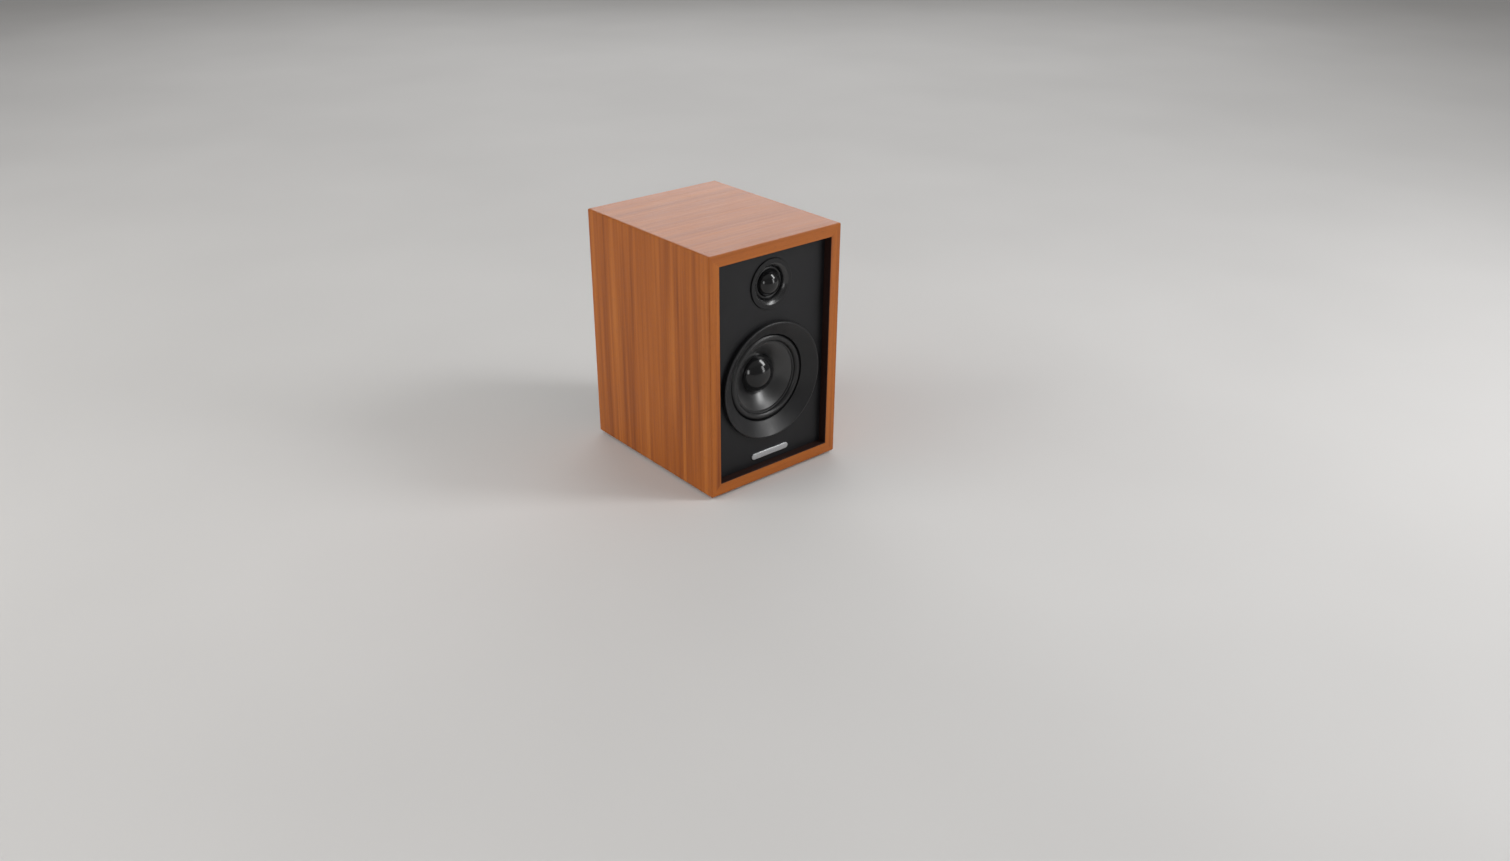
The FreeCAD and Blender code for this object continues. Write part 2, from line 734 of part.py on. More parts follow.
def woofer_basket():
    """The stamped basket: a flange, four legs between windows, the spider landing and the seat on
    the top plate."""
    metal = "basket_metal"
    outline = [
        ("flange_radius", f"-flange_front - {metal}"),
        ("flange_radius", "-flange_front"),
        ("basket_mouth", "-flange_front"),
        ("basket_mouth", "-flange_front - basket_lip"),
        ("basket_waist", "basket_lip - landing_depth"),
        ("basket_waist", "-landing_depth"),
        ("landing_inner", "-landing_depth"),
        ("landing_inner", f"{metal} - seat_depth"),
        ("basket_hole", f"{metal} - seat_depth"),
        ("basket_hole", "-seat_depth"),
        (f"landing_inner + {metal}", "-seat_depth"),
        (f"landing_inner + {metal}", f"-landing_depth - {metal}"),
        (f"basket_waist + {metal}", f"-landing_depth - {metal}"),
        (f"basket_waist + {metal}", f"basket_lip - 0.4 * {metal} - landing_depth"),
        (f"basket_mouth + {metal}", f"-flange_front - basket_lip - 0.3 * {metal}"),
        (f"basket_mouth + {metal}", f"-flange_front - {metal}"),
    ]
    body = turned("woofer_basket", outline, "woofer_level")
    low, high = "(45 - window_half)", "(45 + window_half)"
    sector = [
        (f"window_inner * cos({low} * 1 deg)", f"window_inner * sin({low} * 1 deg)"),
        (f"window_outer * cos({low} * 1 deg)", f"window_outer * sin({low} * 1 deg)"),
        (f"window_outer * cos({high} * 1 deg)", f"window_outer * sin({high} * 1 deg)", "window_outer", 1),
        (f"window_inner * cos({high} * 1 deg)", f"window_inner * sin({high} * 1 deg)"),
    ]
    sector[0] += ("window_inner", -1)
    pocket(body, sector, "Window", len(WOOFER_SCREWS))
    diagonal = f"screw_circle * {DIAGONAL}"
    pocket(body, disc(diagonal, diagonal, "screw_clearance"), "ScrewHole", len(WOOFER_SCREWS))
    return node(body)


def woofer_screws():
    """Four pan-head screws through the basket's flange into the baffle, and the pilot holes that
    they fill."""
    sizes = ("woofer_screw_head", "woofer_screw_crown", "woofer_screw_radius", "woofer_screw_length")
    pattern = cross_screw("woofer_screw_pattern", *sizes)
    y, z, reach = size(BAFFLE_FRONT), size("foot_height + woofer_level"), size("screw_circle")
    places = []
    for angle in WOOFER_SCREWS:
        x_part, z_part = (reach * f(math.radians(angle)) for f in (math.cos, math.sin))
        spot = Vector(x_part, y + size("flange_front"), z + z_part)
        places.append(Placement(spot, Rotation(Vector(0, 0, 1), 180)))
    return node(copies("woofer_screws", pattern, places))


def woofer_surround():
    """The half-roll rubber surround between the basket's flange and the cone's rim."""
    back, front = "-flange_front", "lip_thick - flange_front"
    outer, inner = arc_radius("roll_half", "roll_rise"), arc_radius("roll_half - 0.5", "roll_rise")
    outline = [
        ("gasket_outer", back),
        ("gasket_outer", front),
        ("roll_middle + roll_half", front),
        ("roll_middle", f"{front} + roll_rise", outer, 1),
        ("roll_middle - roll_half", front, outer, 1),
        ("cone_face + 0.2", front),
        ("cone_face + 0.2", back),
        ("roll_middle - roll_half + 0.5", back),
        ("roll_middle", f"{back} + roll_rise", inner, -1),
        ("roll_middle + roll_half - 0.5", back, inner, -1),
    ]
    return node(turned("woofer_surround", outline, "woofer_level"))


def woofer_cone():
    """The curved cone, from its rim under the surround down to the neck on the coil former."""
    neck = "-cone_neck_depth"
    outline = [
        ("cone_rim", "-flange_front - cone_skin"),
        ("cone_rim", "-flange_front"),
        ("cone_face", "-flange_front"),
        ("coil_radius", neck, "cone_curve", 1),
        ("coil_radius", f"{neck} - 2"),
        ("coil_radius + cone_skin", f"{neck} - 2"),
        ("coil_radius + cone_skin", f"{neck} - 0.4"),
        ("cone_face + 0.2", "-flange_front - cone_skin - 0.25", "cone_curve", -1),
        ("cone_face + 1", "-flange_front - cone_skin"),
    ]
    return node(turned("woofer_cone", outline, "woofer_level"))


def cone_height(radius):
    """The height of the cone's curved face at a radius."""
    run, drop = "(cone_face - coil_radius)", "(cone_neck_depth - flange_front)"
    chord = f"sqrt({run} ^ 2 + {drop} ^ 2)"
    reach = f"sqrt(cone_curve ^ 2 - ({chord} / 2) ^ 2)"
    middle_r = f"((cone_face + coil_radius) / 2 + {drop} / {chord} * {reach})"
    middle_s = f"(-(flange_front + cone_neck_depth) / 2 - {run} / {chord} * {reach})"
    return f"({middle_s} + sqrt(cone_curve ^ 2 - (({radius}) - {middle_r}) ^ 2))"


def woofer_dust_cap():
    """The glossy domed dust cap, glued by its rim on the face of the cone."""
    inner, base = "cap_radius - cap_skin", cone_height("cap_radius")
    crown = f"({base} + cap_rise)"
    outline = [
        ("cap_radius", base),
        (0, crown, arc_radius("cap_radius", "cap_rise"), 1),
        (0, f"{crown} - cap_skin"),
        (inner, cone_height(inner), arc_radius(inner, f"{crown} - cap_skin - {cone_height(inner)}"), -1),
    ]
    return node(turned("woofer_dust_cap", outline, "woofer_level"))


def woofer_coil():
    """The coil former that carries the cone's neck, and the winding at its far end."""
    inner = "coil_radius - former_skin"
    former = plain_ring("woofer_coil_former", inner, "coil_radius", "former_end", "former_top")
    outer = "coil_radius + winding_thick"
    winding = plain_ring("woofer_coil_winding", "coil_radius", outer, "winding_end", "winding_top")
    return node(former), node(winding)


def woofer_spider():
    """The corrugated spider from the former out to its landing in the basket."""
    level, folds = "-landing_depth", []
    for count in range(SPIDER_FOLDS + 1):
        swing = 0 if count in (0, SPIDER_FOLDS) else (-1) ** count
        radius = f"spider_first + (spider_last - spider_first) * {count} / {SPIDER_FOLDS}"
        folds.append((radius, f"{level} + {swing} * spider_wave"))
    under = [("coil_radius", level), *folds, ("basket_waist - 0.4", level)]
    over = [(radius, f"{height} + spider_skin") for radius, height in reversed(under)]
    return node(turned("woofer_spider", under + over, "woofer_level"))


def woofer_motor():
    """The top plate, the ferrite ring and the yoke with its pole."""
    plate_back = "(seat_depth + top_plate_thick)"
    plate = plain_ring("woofer_top_plate", "gap_radius", "top_plate_radius", plate_back, "seat_depth")
    magnet_back = f"({plate_back} + magnet_thick)"
    magnet = turned(
        "woofer_magnet",
        [
            ("magnet_hole", f"-{magnet_back}"),
            ("magnet_radius - magnet_chamfer", f"-{magnet_back}"),
            ("magnet_radius", f"magnet_chamfer - {magnet_back}"),
            ("magnet_radius", f"-{plate_back} - magnet_chamfer"),
            ("magnet_radius - magnet_chamfer", f"-({plate_back})"),
            ("magnet_hole", f"-({plate_back})"),
        ],
        "woofer_level",
    )
    yoke_back = f"({magnet_back} + yoke_thick)"
    yoke = turned(
        "woofer_yoke",
        [
            (0, f"-{yoke_back}"),
            ("yoke_radius - yoke_chamfer", f"-{yoke_back}"),
            ("yoke_radius", f"yoke_chamfer - {yoke_back}"),
            ("yoke_radius", f"-{magnet_back}"),
            ("pole_radius", f"-{magnet_back}"),
            ("pole_radius", "-pole_top"),
            (0, "-pole_top"),
        ],
        "woofer_level",
    )
    return node(plate), node(magnet), node(yoke)


# Tweeter ------------------------------------------------------------------------------------------


def tweeter_faceplate():
    """The round faceplate with its short flare, and the barrel behind it that holds the motor."""
    face, seat = "(face_thick - face_seat)", "pot_front - dome_rim"
    outline = [
        ("face_radius", "-face_seat"),
        ("face_radius", f"{face} - face_round"),
        ("face_radius - face_round", face, "face_round", 1),
        ("horn_mouth", face),
        ("horn_throat", "-horn_depth", "horn_curve", 1),
        ("horn_throat", f"-({seat})"),
        ("pot_radius + pot_clearance", f"-({seat})"),
        ("pot_radius + pot_clearance", "-barrel_end"),
        ("barrel_radius", "-barrel_end"),
        ("barrel_radius", "-face_seat"),
    ]
    return node(turned("tweeter_faceplate", outline, "tweeter_level"))


def tweeter_diaphragm():
    """The dome, its half-roll surround with the clamped rim, and the voice coil."""
    skin, middle = "dome_skin", "(dome_radius + dome_roll_reach)"
    half, rise = "dome_roll_half", "dome_roll_rise"
    front, back = "-pot_front + dome_rim", f"-pot_front + dome_rim - {skin}"
    roll = [
        ("pot_radius", "-pot_front"),
        ("pot_radius", front),
        (f"{middle} + {half}", front),
        (middle, f"{front} + {rise}", arc_radius(half, rise), 1),
        (f"{middle} - {half}", front, arc_radius(half, rise), 1),
        ("dome_radius + 0.02", front),
        ("dome_radius + 0.02", back),
        (f"{middle} - {half} + {skin}", back),
        (middle, f"{back} + {rise}", arc_radius(f"{half} - {skin}", rise), -1),
        (f"{middle} + {half} - {skin}", back, arc_radius(f"{half} - {skin}", rise), -1),
        ("pot_bore + 2 * dome_skin", "-pot_front"),
    ]
    surround = turned("tweeter_surround", roll, "tweeter_level")
    base, crown, inner = "-dome_base - dome_skirt", "dome_rise - dome_base", "dome_radius - dome_skin"
    dome = turned(
        "tweeter_dome",
        [
            ("dome_radius", base),
            ("dome_radius", "-dome_base"),
            (0, crown, arc_radius("dome_radius", "dome_rise"), 1),
            (0, f"{crown} - {skin}"),
            (inner, "-dome_base", arc_radius(inner, f"dome_rise - {skin}"), -1),
            (inner, base),
        ],
        "tweeter_level",
    )
    ends = ("dome_coil_end", "dome_base + dome_skirt")
    coil = plain_ring("tweeter_voice_coil", inner, "dome_radius + 0.2", *ends, "tweeter_level")
    return node(surround), node(dome), node(coil)


def tweeter_motor():
    """The steel pot, the neodymium slug in it and the pole plate on the slug."""
    pot = turned(
        "tweeter_pot",
        [
            (0, "-pot_end"),
            ("pot_radius", "-pot_end"),
            ("pot_radius", "-pot_front"),
            ("pot_bore", "-pot_front"),
            ("pot_bore", "pot_floor - pot_end"),
            (0, "pot_floor - pot_end"),
        ],
        "tweeter_level",
    )
    plate_front = "pot_front + dome_skirt"
    plate_back = f"{plate_front} + pole_plate_thick"
    slug = [(0, "pot_floor - pot_end"), ("slug_radius", "pot_floor - pot_end")]
    slug += [("slug_radius", f"-({plate_back})"), (0, f"-({plate_back})")]
    plate = [(0, f"-({plate_back})"), ("pole_plate_radius", f"-({plate_back})")]
    plate += [("pole_plate_radius", f"-({plate_front})"), (0, f"-({plate_front})")]
    magnet = turned("tweeter_magnet", slug, "tweeter_level")
    return node(pot), node(magnet), node(turned("tweeter_pole_plate", plate, "tweeter_level"))


def tweeter_clamp_ring(screws):
    """The hat-section ring that pulls the tweeter against the baffle from behind."""
    brim, metal, wall = "-baffle_thick", "clamp_metal", "pot_radius + clamp_clearance"
    outline = [
        ("clamp_opening", f"-pot_end - {metal}"),
        (f"{wall} + {metal}", f"-pot_end - {metal}"),
        (f"{wall} + {metal}", f"{brim} - {metal}"),
        ("clamp_radius", f"{brim} - {metal}"),
        ("clamp_radius", brim),
        (wall, brim),
        (wall, "-pot_end"),
        ("clamp_opening", "-pot_end"),
    ]
    ring = turned("clamp_blank", outline, "tweeter_level")
    return node(cut("tweeter_clamp_ring", ring, screws))


def tweeter_screws():
    """Three screws through the clamp ring into the back of the baffle."""
    sizes = ("clamp_screw_head", "clamp_screw_crown", "clamp_screw_radius", "clamp_screw_length")
    pattern = cross_screw("tweeter_screw_pattern", *sizes)
    y = size(f"{BAFFLE_FRONT} + baffle_thick + clamp_metal")
    z, reach = size("foot_height + tweeter_level"), size("clamp_screw_circle")
    places = []
    for angle in TWEETER_SCREWS:
        x_part, z_part = (reach * f(math.radians(angle)) for f in (math.cos, math.sin))
        places.append(Placement(Vector(x_part, y, z + z_part), Rotation()))
    return node(copies("tweeter_screws", pattern, places))


def driver_terminals():
    """The insulating strips on the two drivers, and the brass tabs that the leads push on to."""
    front, foot = size(BAFFLE_FRONT), size("foot_height")
    waist, half, deep = size("basket_waist + basket_metal"), size("strip_half"), size("strip_depth")
    woofer, near = foot + size("woofer_level") - waist, front + size("strip_setback")
    block = Vector(-half, near, woofer - size("strip_thick - strip_sink"))
    strip = Part.makeBox(2 * half, deep, size("strip_thick"), block)
    seat = Part.makeCylinder(waist, deep, Vector(0, near, woofer + waist), Vector(0, 1, 0))
    behind, tweeter = front + size("pot_end"), foot + size("tweeter_level")
    half, tall, thick = size("card_half_x"), size("2 * card_half_z"), size("card_thick")
    card = Part.makeBox(2 * half, thick, tall, Vector(-half, behind, tweeter - tall / 2))
    tabs = []
    tab = [size(f"tab_{part}") for part in ("half", "thick", "length")]
    pin = [size(f"pin_{part}") for part in ("half", "length", "thick")]
    for side in SIDES.values():
        x, y = side * size("tab_reach") - tab[0], front + size("tab_setback")
        low = woofer - size("strip_thick - strip_sink") - tab[2]
        tabs.append(Part.makeBox(2 * tab[0], tab[1], tab[2], Vector(x, y, low)))
        x = side * size("pin_reach") - pin[0]
        low = Vector(x, behind + thick, tweeter - pin[2] / 2)
        tabs.append(Part.makeBox(2 * pin[0], pin[1], pin[2], low))
    node(solids("driver_terminal_strips", [strip.cut(seat), card]))
    node(solids("driver_tabs", tabs))


# Port, terminal cup and binding posts -------------------------------------------------------------


def port_tube():
    """The flared reflex port, pushed in from the back."""
    flange, outer = "port_flange_thick", "port_radius + port_wall"
    outline = [
        ("port_radius", f"{flange} - port_length"),
        (outer, f"{flange} - port_length"),
        (outer, 0),
        ("port_flange_radius", 0),
        ("port_flange_radius", f"{flange} - port_rim_round"),
        ("port_flange_radius - port_rim_round", flange, "port_rim_round", 1),
        ("port_radius + port_flare", flange),
        ("port_radius", f"{flange} - port_flare", "port_flare", 1),
    ]
    return node(turned("port_tube", outline, y=BACK_FACE, z="foot_height + port_level"))


def cup_screw_holes(body):
    """The four screw holes of the cup's flange and of its gasket."""
    for number, (u, v) in enumerate(CORNERS, 1):
        hole = disc(f"{u} * cup_screw_x", f"{v} * cup_screw_z", "cup_screw_hole")
        pocket(body, hole, f"ScrewHole{number}")


def terminal_cup():
    """The recessed cup: a screwed flange, a box behind it, and raised plus and minus marks above
    the posts."""
    body = doc.addObject("PartDesign::Body", "cup_shell")
    flange = rounded("cup_flange_x", "cup_flange_z", "cup_flange_corner")
    pad(body, flange, "cup_flange_thick", name="Flange", reverse=True)
    shell = rounded("cup_open_x + cup_wall", "cup_open_z + cup_wall", "cup_shell_corner")
    pad(body, shell, "cup_depth - cup_flange_thick + cup_floor", name="Shell")
    well = rounded("cup_open_x", "cup_open_z", "cup_well_corner")
    pocket(body, well, "Well", length="cup_depth", offset="cup_flange_thick")
    cup_screw_holes(body)
    for label, side in SIDES.items():
        pocket(body, disc(f"{side} * post_reach", 0, "tail_radius + lid_gap"), f"PostHole{label}")
    bind(body, y=f"{BACK_FACE} + cup_gasket", z="foot_height + cup_level")
    low_y, high_y = f"{CUP_FLOOR} - cup_wall / 10", f"{CUP_FLOOR} + mark_rise"
    level, marks = "(foot_height + cup_level + mark_level)", []
    for label, middle, half_x, half_z in (
        ("plus_bar", "post_reach", "mark_half", "mark_half_width"),
        ("plus_stem", "post_reach", "mark_half_width", "mark_half"),
        ("minus_bar", "-post_reach", "mark_half", "mark_half_width"),
    ):
        low = (f"{middle} - {half_x}", low_y, f"{level} - {half_z}")
        marks.append(box(label, low, (f"{middle} + {half_x}", high_y, f"{level} + {half_z}")))
    return node(fuse("terminal_cup", body, *marks))


def terminal_cup_gasket():
    """The thin foam frame between the cup's flange and the back panel."""
    body = doc.addObject("PartDesign::Body", "terminal_cup_gasket")
    inset = "cup_gasket"
    outline = rounded(f"cup_flange_x - {inset}", f"cup_flange_z - {inset}", f"cup_flange_corner - {inset}")
    pad(body, outline, "cup_gasket", reverse=True)
    gap = "cup_wall + fit_gap"
    pocket(body, rounded(f"cup_open_x + {gap}", f"cup_open_z + {gap}", "cup_shell_corner"), "Window")
    cup_screw_holes(body)
    bind(body, y=BACK_FACE, z="foot_height + cup_level")
    return node(body)


def terminal_cup_screws():
    """Four pan-head screws at the corners of the cup's flange."""
    sizes = ("cup_screw_head", "cup_screw_crown", "cup_screw_radius", "cup_screw_length")
    pattern = cross_screw("cup_screw_pattern", *sizes)
    y, z = size(f"{BACK_FACE} + cup_gasket + cup_flange_thick"), size("foot_height + cup_level")
    x_reach, z_reach = size("cup_screw_x"), size("cup_screw_z")
    spots = [Vector(a * x_reach, y, z + b * z_reach) for a in (-1, 1) for b in (-1, 1)]
    return node(copies("terminal_cup_screws", pattern, [Placement(spot, Rotation()) for spot in spots]))


def binding_post(colour, side):
    """One binding post: a brass stud with its banana bore and wire hole, the coloured collar under
    it, the loose clamping washer and the fluted cap that screws down on it."""
    place = {"x": f"{side} * post_reach", "y": CUP_FLOOR, "z": "foot_height + cup_level"}
    seat = "(collar_thick + flange_thick)"
    stud = turned(
        f"{colour}_stud_blank",
        [
            (0, "-tail_end"),
            ("tail_radius - tip_chamfer", "-tail_end"),
            ("tail_radius", "tip_chamfer - tail_end"),
            ("tail_radius", "collar_thick"),
            ("post_flange_radius", "collar_thick"),
            ("post_flange_radius", seat),
            ("post_radius", seat),
            ("post_radius", "post_top - tip_chamfer"),
            ("post_radius - tip_chamfer", "post_top"),
            ("banana_radius", "post_top"),
            ("banana_radius", "post_top - banana_depth"),
            (0, "post_top - banana_depth - banana_radius / 2"),
        ],
        **place,
    )
    wire_level = f"{place['z']} - post_radius - 1"
    start = (place["x"], f"{CUP_FLOOR} + wire_hole_height", wire_level)
    wire_hole = rod(f"{colour}_wire_hole", "wire_hole", start, "2 * post_radius + 2", "Z")
    node(cut(f"{colour}_post_stud", stud, wire_hole))
    hole, edge = "tail_radius + lid_gap", "tip_chamfer"
    collar = [(hole, 0), ("collar_radius", 0), ("collar_radius", f"collar_thick - {edge}")]
    collar += [(f"collar_radius - {edge}", "collar_thick"), (hole, "collar_thick")]
    node(turned(f"{colour}_post_collar", collar, **place))
    bore, lid = "post_radius + thread_gap", f"({seat} + washer_thick)"
    washer = [(bore, seat), ("post_flange_radius", seat), ("post_flange_radius", lid), (bore, lid)]
    node(turned(f"{colour}_post_washer", washer, **place))
    cap = turned(
        f"{colour}_post_cap",
        [
            (bore, lid),
            ("cap_outer - cap_chamfer", lid),
            ("cap_outer", f"{lid} + cap_chamfer"),
            ("cap_outer", "cap_end - cap_round"),
            ("cap_outer - cap_round", "cap_end", "cap_round", 1),
            ("cap_mouth + mouth_chamfer", "cap_end"),
            ("cap_mouth", "cap_end - mouth_chamfer"),
            ("cap_mouth", "post_top + lid_gap"),
            (bore, "post_top + lid_gap"),
        ],
        **place,
    )
    pocket(cap, disc("cap_outer + flute_offset", 0, "flute_radius"), "Flute", FLUTES)
    node(cap)


def post_fixings():
    """The hexagon nuts and the solder tags on the tails of both posts."""
    nuts, tags = [], []
    face, z = size(f"{CUP_FLOOR} - cup_floor"), size("foot_height + cup_level")
    thick, half, long = size("tag_thick"), size("tag_half"), size("tag_length")
    into, wide = Vector(0, -1, 0), size("nut_radius")
    for side in SIDES.values():
        x, back = side * size("post_reach"), face - thick
        corners = []
        for angle in hexagon_angles():
            corners.append(Vector(x + wide * math.cos(angle), back, z + wide * math.sin(angle)))
        hexagon = Part.Face(Part.makePolygon(corners + corners[:1]))
        tail = Part.makeCylinder(size("tail_radius"), size("cup_depth"), Vector(x, face + 1, z), into)
        nuts.append(hexagon.extrude(into * size("nut_thick")).cut(tail))
        ring = Part.makeCylinder(size("tag_radius"), thick, Vector(x, face, z), into)
        tongue = Part.makeBox(2 * half, thick, long, Vector(x - half, back, z - long))
        tags.append(ring.fuse(tongue).removeSplitter().cut(tail))
    node(solids("post_nuts", nuts))
    node(solids("post_solder_tags", tags))


def hexagon_angles():
    """The directions of a hexagon's corners."""
    return [math.radians(60 * corner) for corner in range(6)]


# Crossover and leads ------------------------------------------------------------------------------


def crossover():
    """The crossover board on its standoffs, with two inductors, two capacitors and a resistor."""
    base, top = f"({FLOOR} + standoff)", f"({FLOOR} + standoff + board_thick)"
    low = ("-board_half", "board_front", base)
    node(box("crossover_board", low, ("board_half", "board_back", top)))
    deck, floor, inset = size(top), size(FLOOR), size("leg_inset")
    legs, reach = [], size("board_half") - inset
    for x in (-reach, reach):
        for y in (size("board_front") + inset, size("board_back") - inset):
            legs.append(Part.makeCylinder(size("leg_radius"), size("standoff"), Vector(x, y, floor)))
    node(solids("crossover_standoffs", legs))
    coils, rim = [], size("spool_rim")
    for kind, spot in (("air", Vector(-20, 12, deck)), ("core", Vector(14, 6, deck))):
        radius, hole, height = (size(f"{kind}_coil_{part}") for part in ("radius", "hole", "height"))
        spool = Part.makeCylinder(radius, height, spot).cut(Part.makeCylinder(hole, height, spot))
        raised = spot + Vector(0, 0, rim)
        slot = Part.makeCylinder(radius, height - 2 * rim, raised)
        coils.append(spool.cut(slot.cut(Part.makeCylinder(radius - rim, height - 2 * rim, raised))))
    node(solids("crossover_inductors", coils))
    long, film, can = size("capacitor_length"), size("film_radius"), size("can_radius")
    wrapped = Part.makeCylinder(film, long, Vector(30, 14, deck + film), Vector(0, 1, 0))
    canned = Part.makeCylinder(can, long, Vector(-40, 43, deck + can), Vector(1, 0, 0))
    softened = wrapped.makeFillet(size("capacitor_round"), wrapped.Edges[:1] + wrapped.Edges[2:])
    node(solids("crossover_capacitors", [softened, canned]))
    node(box("crossover_resistor", (-6, 30, top), (16, 39, f"{top} + resistor_height")))


def lead(route, radius):
    """A round lead along straight runs joined by tangent arcs, each as large as its runs allow."""
    points = [Vector(*spot) for spot in route]
    edges, start, length = [], points[0], 0.0
    for index in range(1, len(points) - 1):
        before, corner, after = points[index - 1 : index + 2]
        arrive, leave = (corner - before).normalize(), (after - corner).normalize()
        turn = arrive.getAngle(leave)
        back = 0.45 * min((corner - before).Length, (after - corner).Length)
        first, last = corner - arrive * back, corner + leave * back
        inward = (leave - arrive).normalize()
        bend = back / math.tan(turn / 2)
        middle = corner + inward * (bend / math.cos(turn / 2) - bend)
        edges += [Part.LineSegment(start, first).toShape(), Part.Arc(first, middle, last).toShape()]
        length += (first - start).Length + bend * turn
        start = last
        if bend < 5 * radius:
            raise ValueError(f"a lead bends to {bend:.1f} mm at {corner}")
    edges.append(Part.LineSegment(start, points[-1]).toShape())
    length += (points[-1] - start).Length
    section = Part.Wire(Part.Circle(points[0], points[1] - points[0], radius).toShape())
    tube = Part.Wire(edges).makePipeShell([section], True, True)
    expected = math.pi * radius**2 * length
    if abs(tube.Volume - expected) > 0.01 * expected:
        raise ValueError(f"a lead's volume is {tube.Volume:.0f}, not {expected:.0f}")
    return tube


def leads():
    """The pairs of leads from the cup to the crossover and from there to both drivers, and the
    tinsel leads."""
    wire, deck = size("lead_radius"), size(f"{FLOOR} + standoff + board_thick")
    tag_y = size(f"{CUP_FLOOR} - cup_floor - tag_thick") - wire
    tag_z = size("foot_height + cup_level - tag_radius")
    reach = size("post_reach")
    inputs = []
    for side in SIDES.values():
        x = side * reach
        route = [(x, tag_y, tag_z), (x, tag_y, tag_z - 14), (x, tag_y - 17.5, tag_z - 24)]
        inputs.append(lead([*route, (x, tag_y - 17.5, deck)], wire))
    node(solids("input_leads", inputs))
    front = size(BAFFLE_FRONT)
    tab_y = front + size("tab_setback + tab_thick / 2")
    strip_base = "foot_height + woofer_level - basket_waist - basket_metal - strip_thick + strip_sink"
    tab_z = size(f"{strip_base} - tab_length")
    pair = []
    for x in (-size("tab_reach"), size("tab_reach")):
        route = [(x, -6, deck), (x, -6, deck + 16), (x, -32, deck + 19)]
        route += [(x, tab_y, tab_z - 16), (x, tab_y, tab_z)]
        pair.append(lead(route, wire))
    node(solids("woofer_leads", pair))
    tab_y = front + size("pot_end + card_thick + pin_length")
    level, pair, pin = size("foot_height + tweeter_level"), [], size("pin_reach")
    for x, offset in ((-pin, 0), (pin, 4)):
        route = [(39, 6 + offset, deck), (39, 6 + offset, deck + 20), (46, 8 + offset, deck + 40)]
        route += [(46, 10 + offset, deck + 76), (44, 6 + offset, deck + 112), (40, 2 + offset, deck + 140)]
        route += [(30, -12 + offset, deck + 160), (x + 10, -30 + offset, deck + 172)]
        route += [(x, tab_y + 18, level), (x, tab_y, level)]
        pair.append(lead(route, wire))
    node(solids("tweeter_leads", pair))
    level, tinsel = size("foot_height + woofer_level"), []
    for side in (-1, 1):
        route = [(9.4 * side, front + 28.2, level - 33.4), (9.4 * side, front + 24.4, level - 33.4)]
        route += [(9.8 * side, front + 20.6, level - 31), (8.6 * side, front + 18.6, level - 25.5)]
        tinsel.append(lead([*route, (8 * side, front + 16.9, level - 22)], size("tinsel_radius")))
    node(solids("woofer_tinsel_leads", tinsel))


# Assembly -----------------------------------------------------------------------------------------


def main():
    cabinet_wrap()
    holes = back_panel_screws()
    corner_cleats(holes)
    window_brace()
    back_panel(holes, terminal_cup_screws())
    clamp_screws = tweeter_screws()
    front_baffle([woofer_screws(), clamp_screws])
    rubber_feet()
    badge_plate()
    damping_pads()
    for make in (woofer_trim_ring, woofer_gaskets, woofer_basket, woofer_surround, woofer_cone):
        make()
    for make in (woofer_dust_cap, woofer_coil, woofer_spider, woofer_motor):
        make()
    for make in (tweeter_faceplate, tweeter_diaphragm, tweeter_motor):
        make()
    tweeter_clamp_ring(clamp_screws)
    for make in (driver_terminals, port_tube, terminal_cup, terminal_cup_gasket, post_fixings):
        make()
    for colour, side in SIDES.items():
        binding_post(colour, side)
    crossover()
    leads()
    doc.recompute()
    for item in doc.Objects:
        if "Invalid" in item.State or "Error" in item.State:
            raise ValueError(f"{item.Name} failed to compute: {item.State}")
    os.makedirs("parts", exist_ok=True)
    for item in nodes:
        if item.Shape.isNull() or not item.Shape.isValid() or not item.Shape.Solids:
            raise ValueError(f"{item.Label} has no valid solid")
        item.Shape.exportStep(f"parts/{item.Label}.step")
    print(len(nodes), "nodes")


main()
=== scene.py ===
"""The looks of a two-way bookshelf loudspeaker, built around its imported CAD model.

Frame: X to the listener's right, -Y to the listener, +Z up, in metres. Sizes in this file are in
millimetres and turn into metres where they meet Blender. Driver profiles are (radius, forward) from
the front face of the baffle.
"""

import math

import bmesh
import bpy
import numpy as np
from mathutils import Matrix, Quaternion, Vector


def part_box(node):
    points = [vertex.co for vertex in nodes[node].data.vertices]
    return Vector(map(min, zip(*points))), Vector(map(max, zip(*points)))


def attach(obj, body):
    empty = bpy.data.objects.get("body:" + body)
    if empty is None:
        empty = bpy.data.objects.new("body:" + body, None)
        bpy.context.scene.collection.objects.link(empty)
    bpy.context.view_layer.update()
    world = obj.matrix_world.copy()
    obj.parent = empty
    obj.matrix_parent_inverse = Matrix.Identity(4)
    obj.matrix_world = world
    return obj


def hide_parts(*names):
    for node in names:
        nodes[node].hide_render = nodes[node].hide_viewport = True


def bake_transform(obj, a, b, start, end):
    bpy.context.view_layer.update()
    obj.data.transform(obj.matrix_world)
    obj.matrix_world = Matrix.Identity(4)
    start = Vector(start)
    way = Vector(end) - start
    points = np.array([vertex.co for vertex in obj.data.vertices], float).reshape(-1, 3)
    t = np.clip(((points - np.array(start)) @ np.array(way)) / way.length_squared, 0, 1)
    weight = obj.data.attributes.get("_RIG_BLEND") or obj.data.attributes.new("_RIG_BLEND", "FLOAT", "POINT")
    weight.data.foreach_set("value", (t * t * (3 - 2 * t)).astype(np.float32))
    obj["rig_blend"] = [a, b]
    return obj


MM = 0.001
X, Y, Z = 0, 1, 2
UNBOUNDED = 1e4  # millimetres: a cell so long that a pattern doesn't change along it
WALL_MARGIN = 0.6  # millimetres beyond a wall's inner face that still count as inside

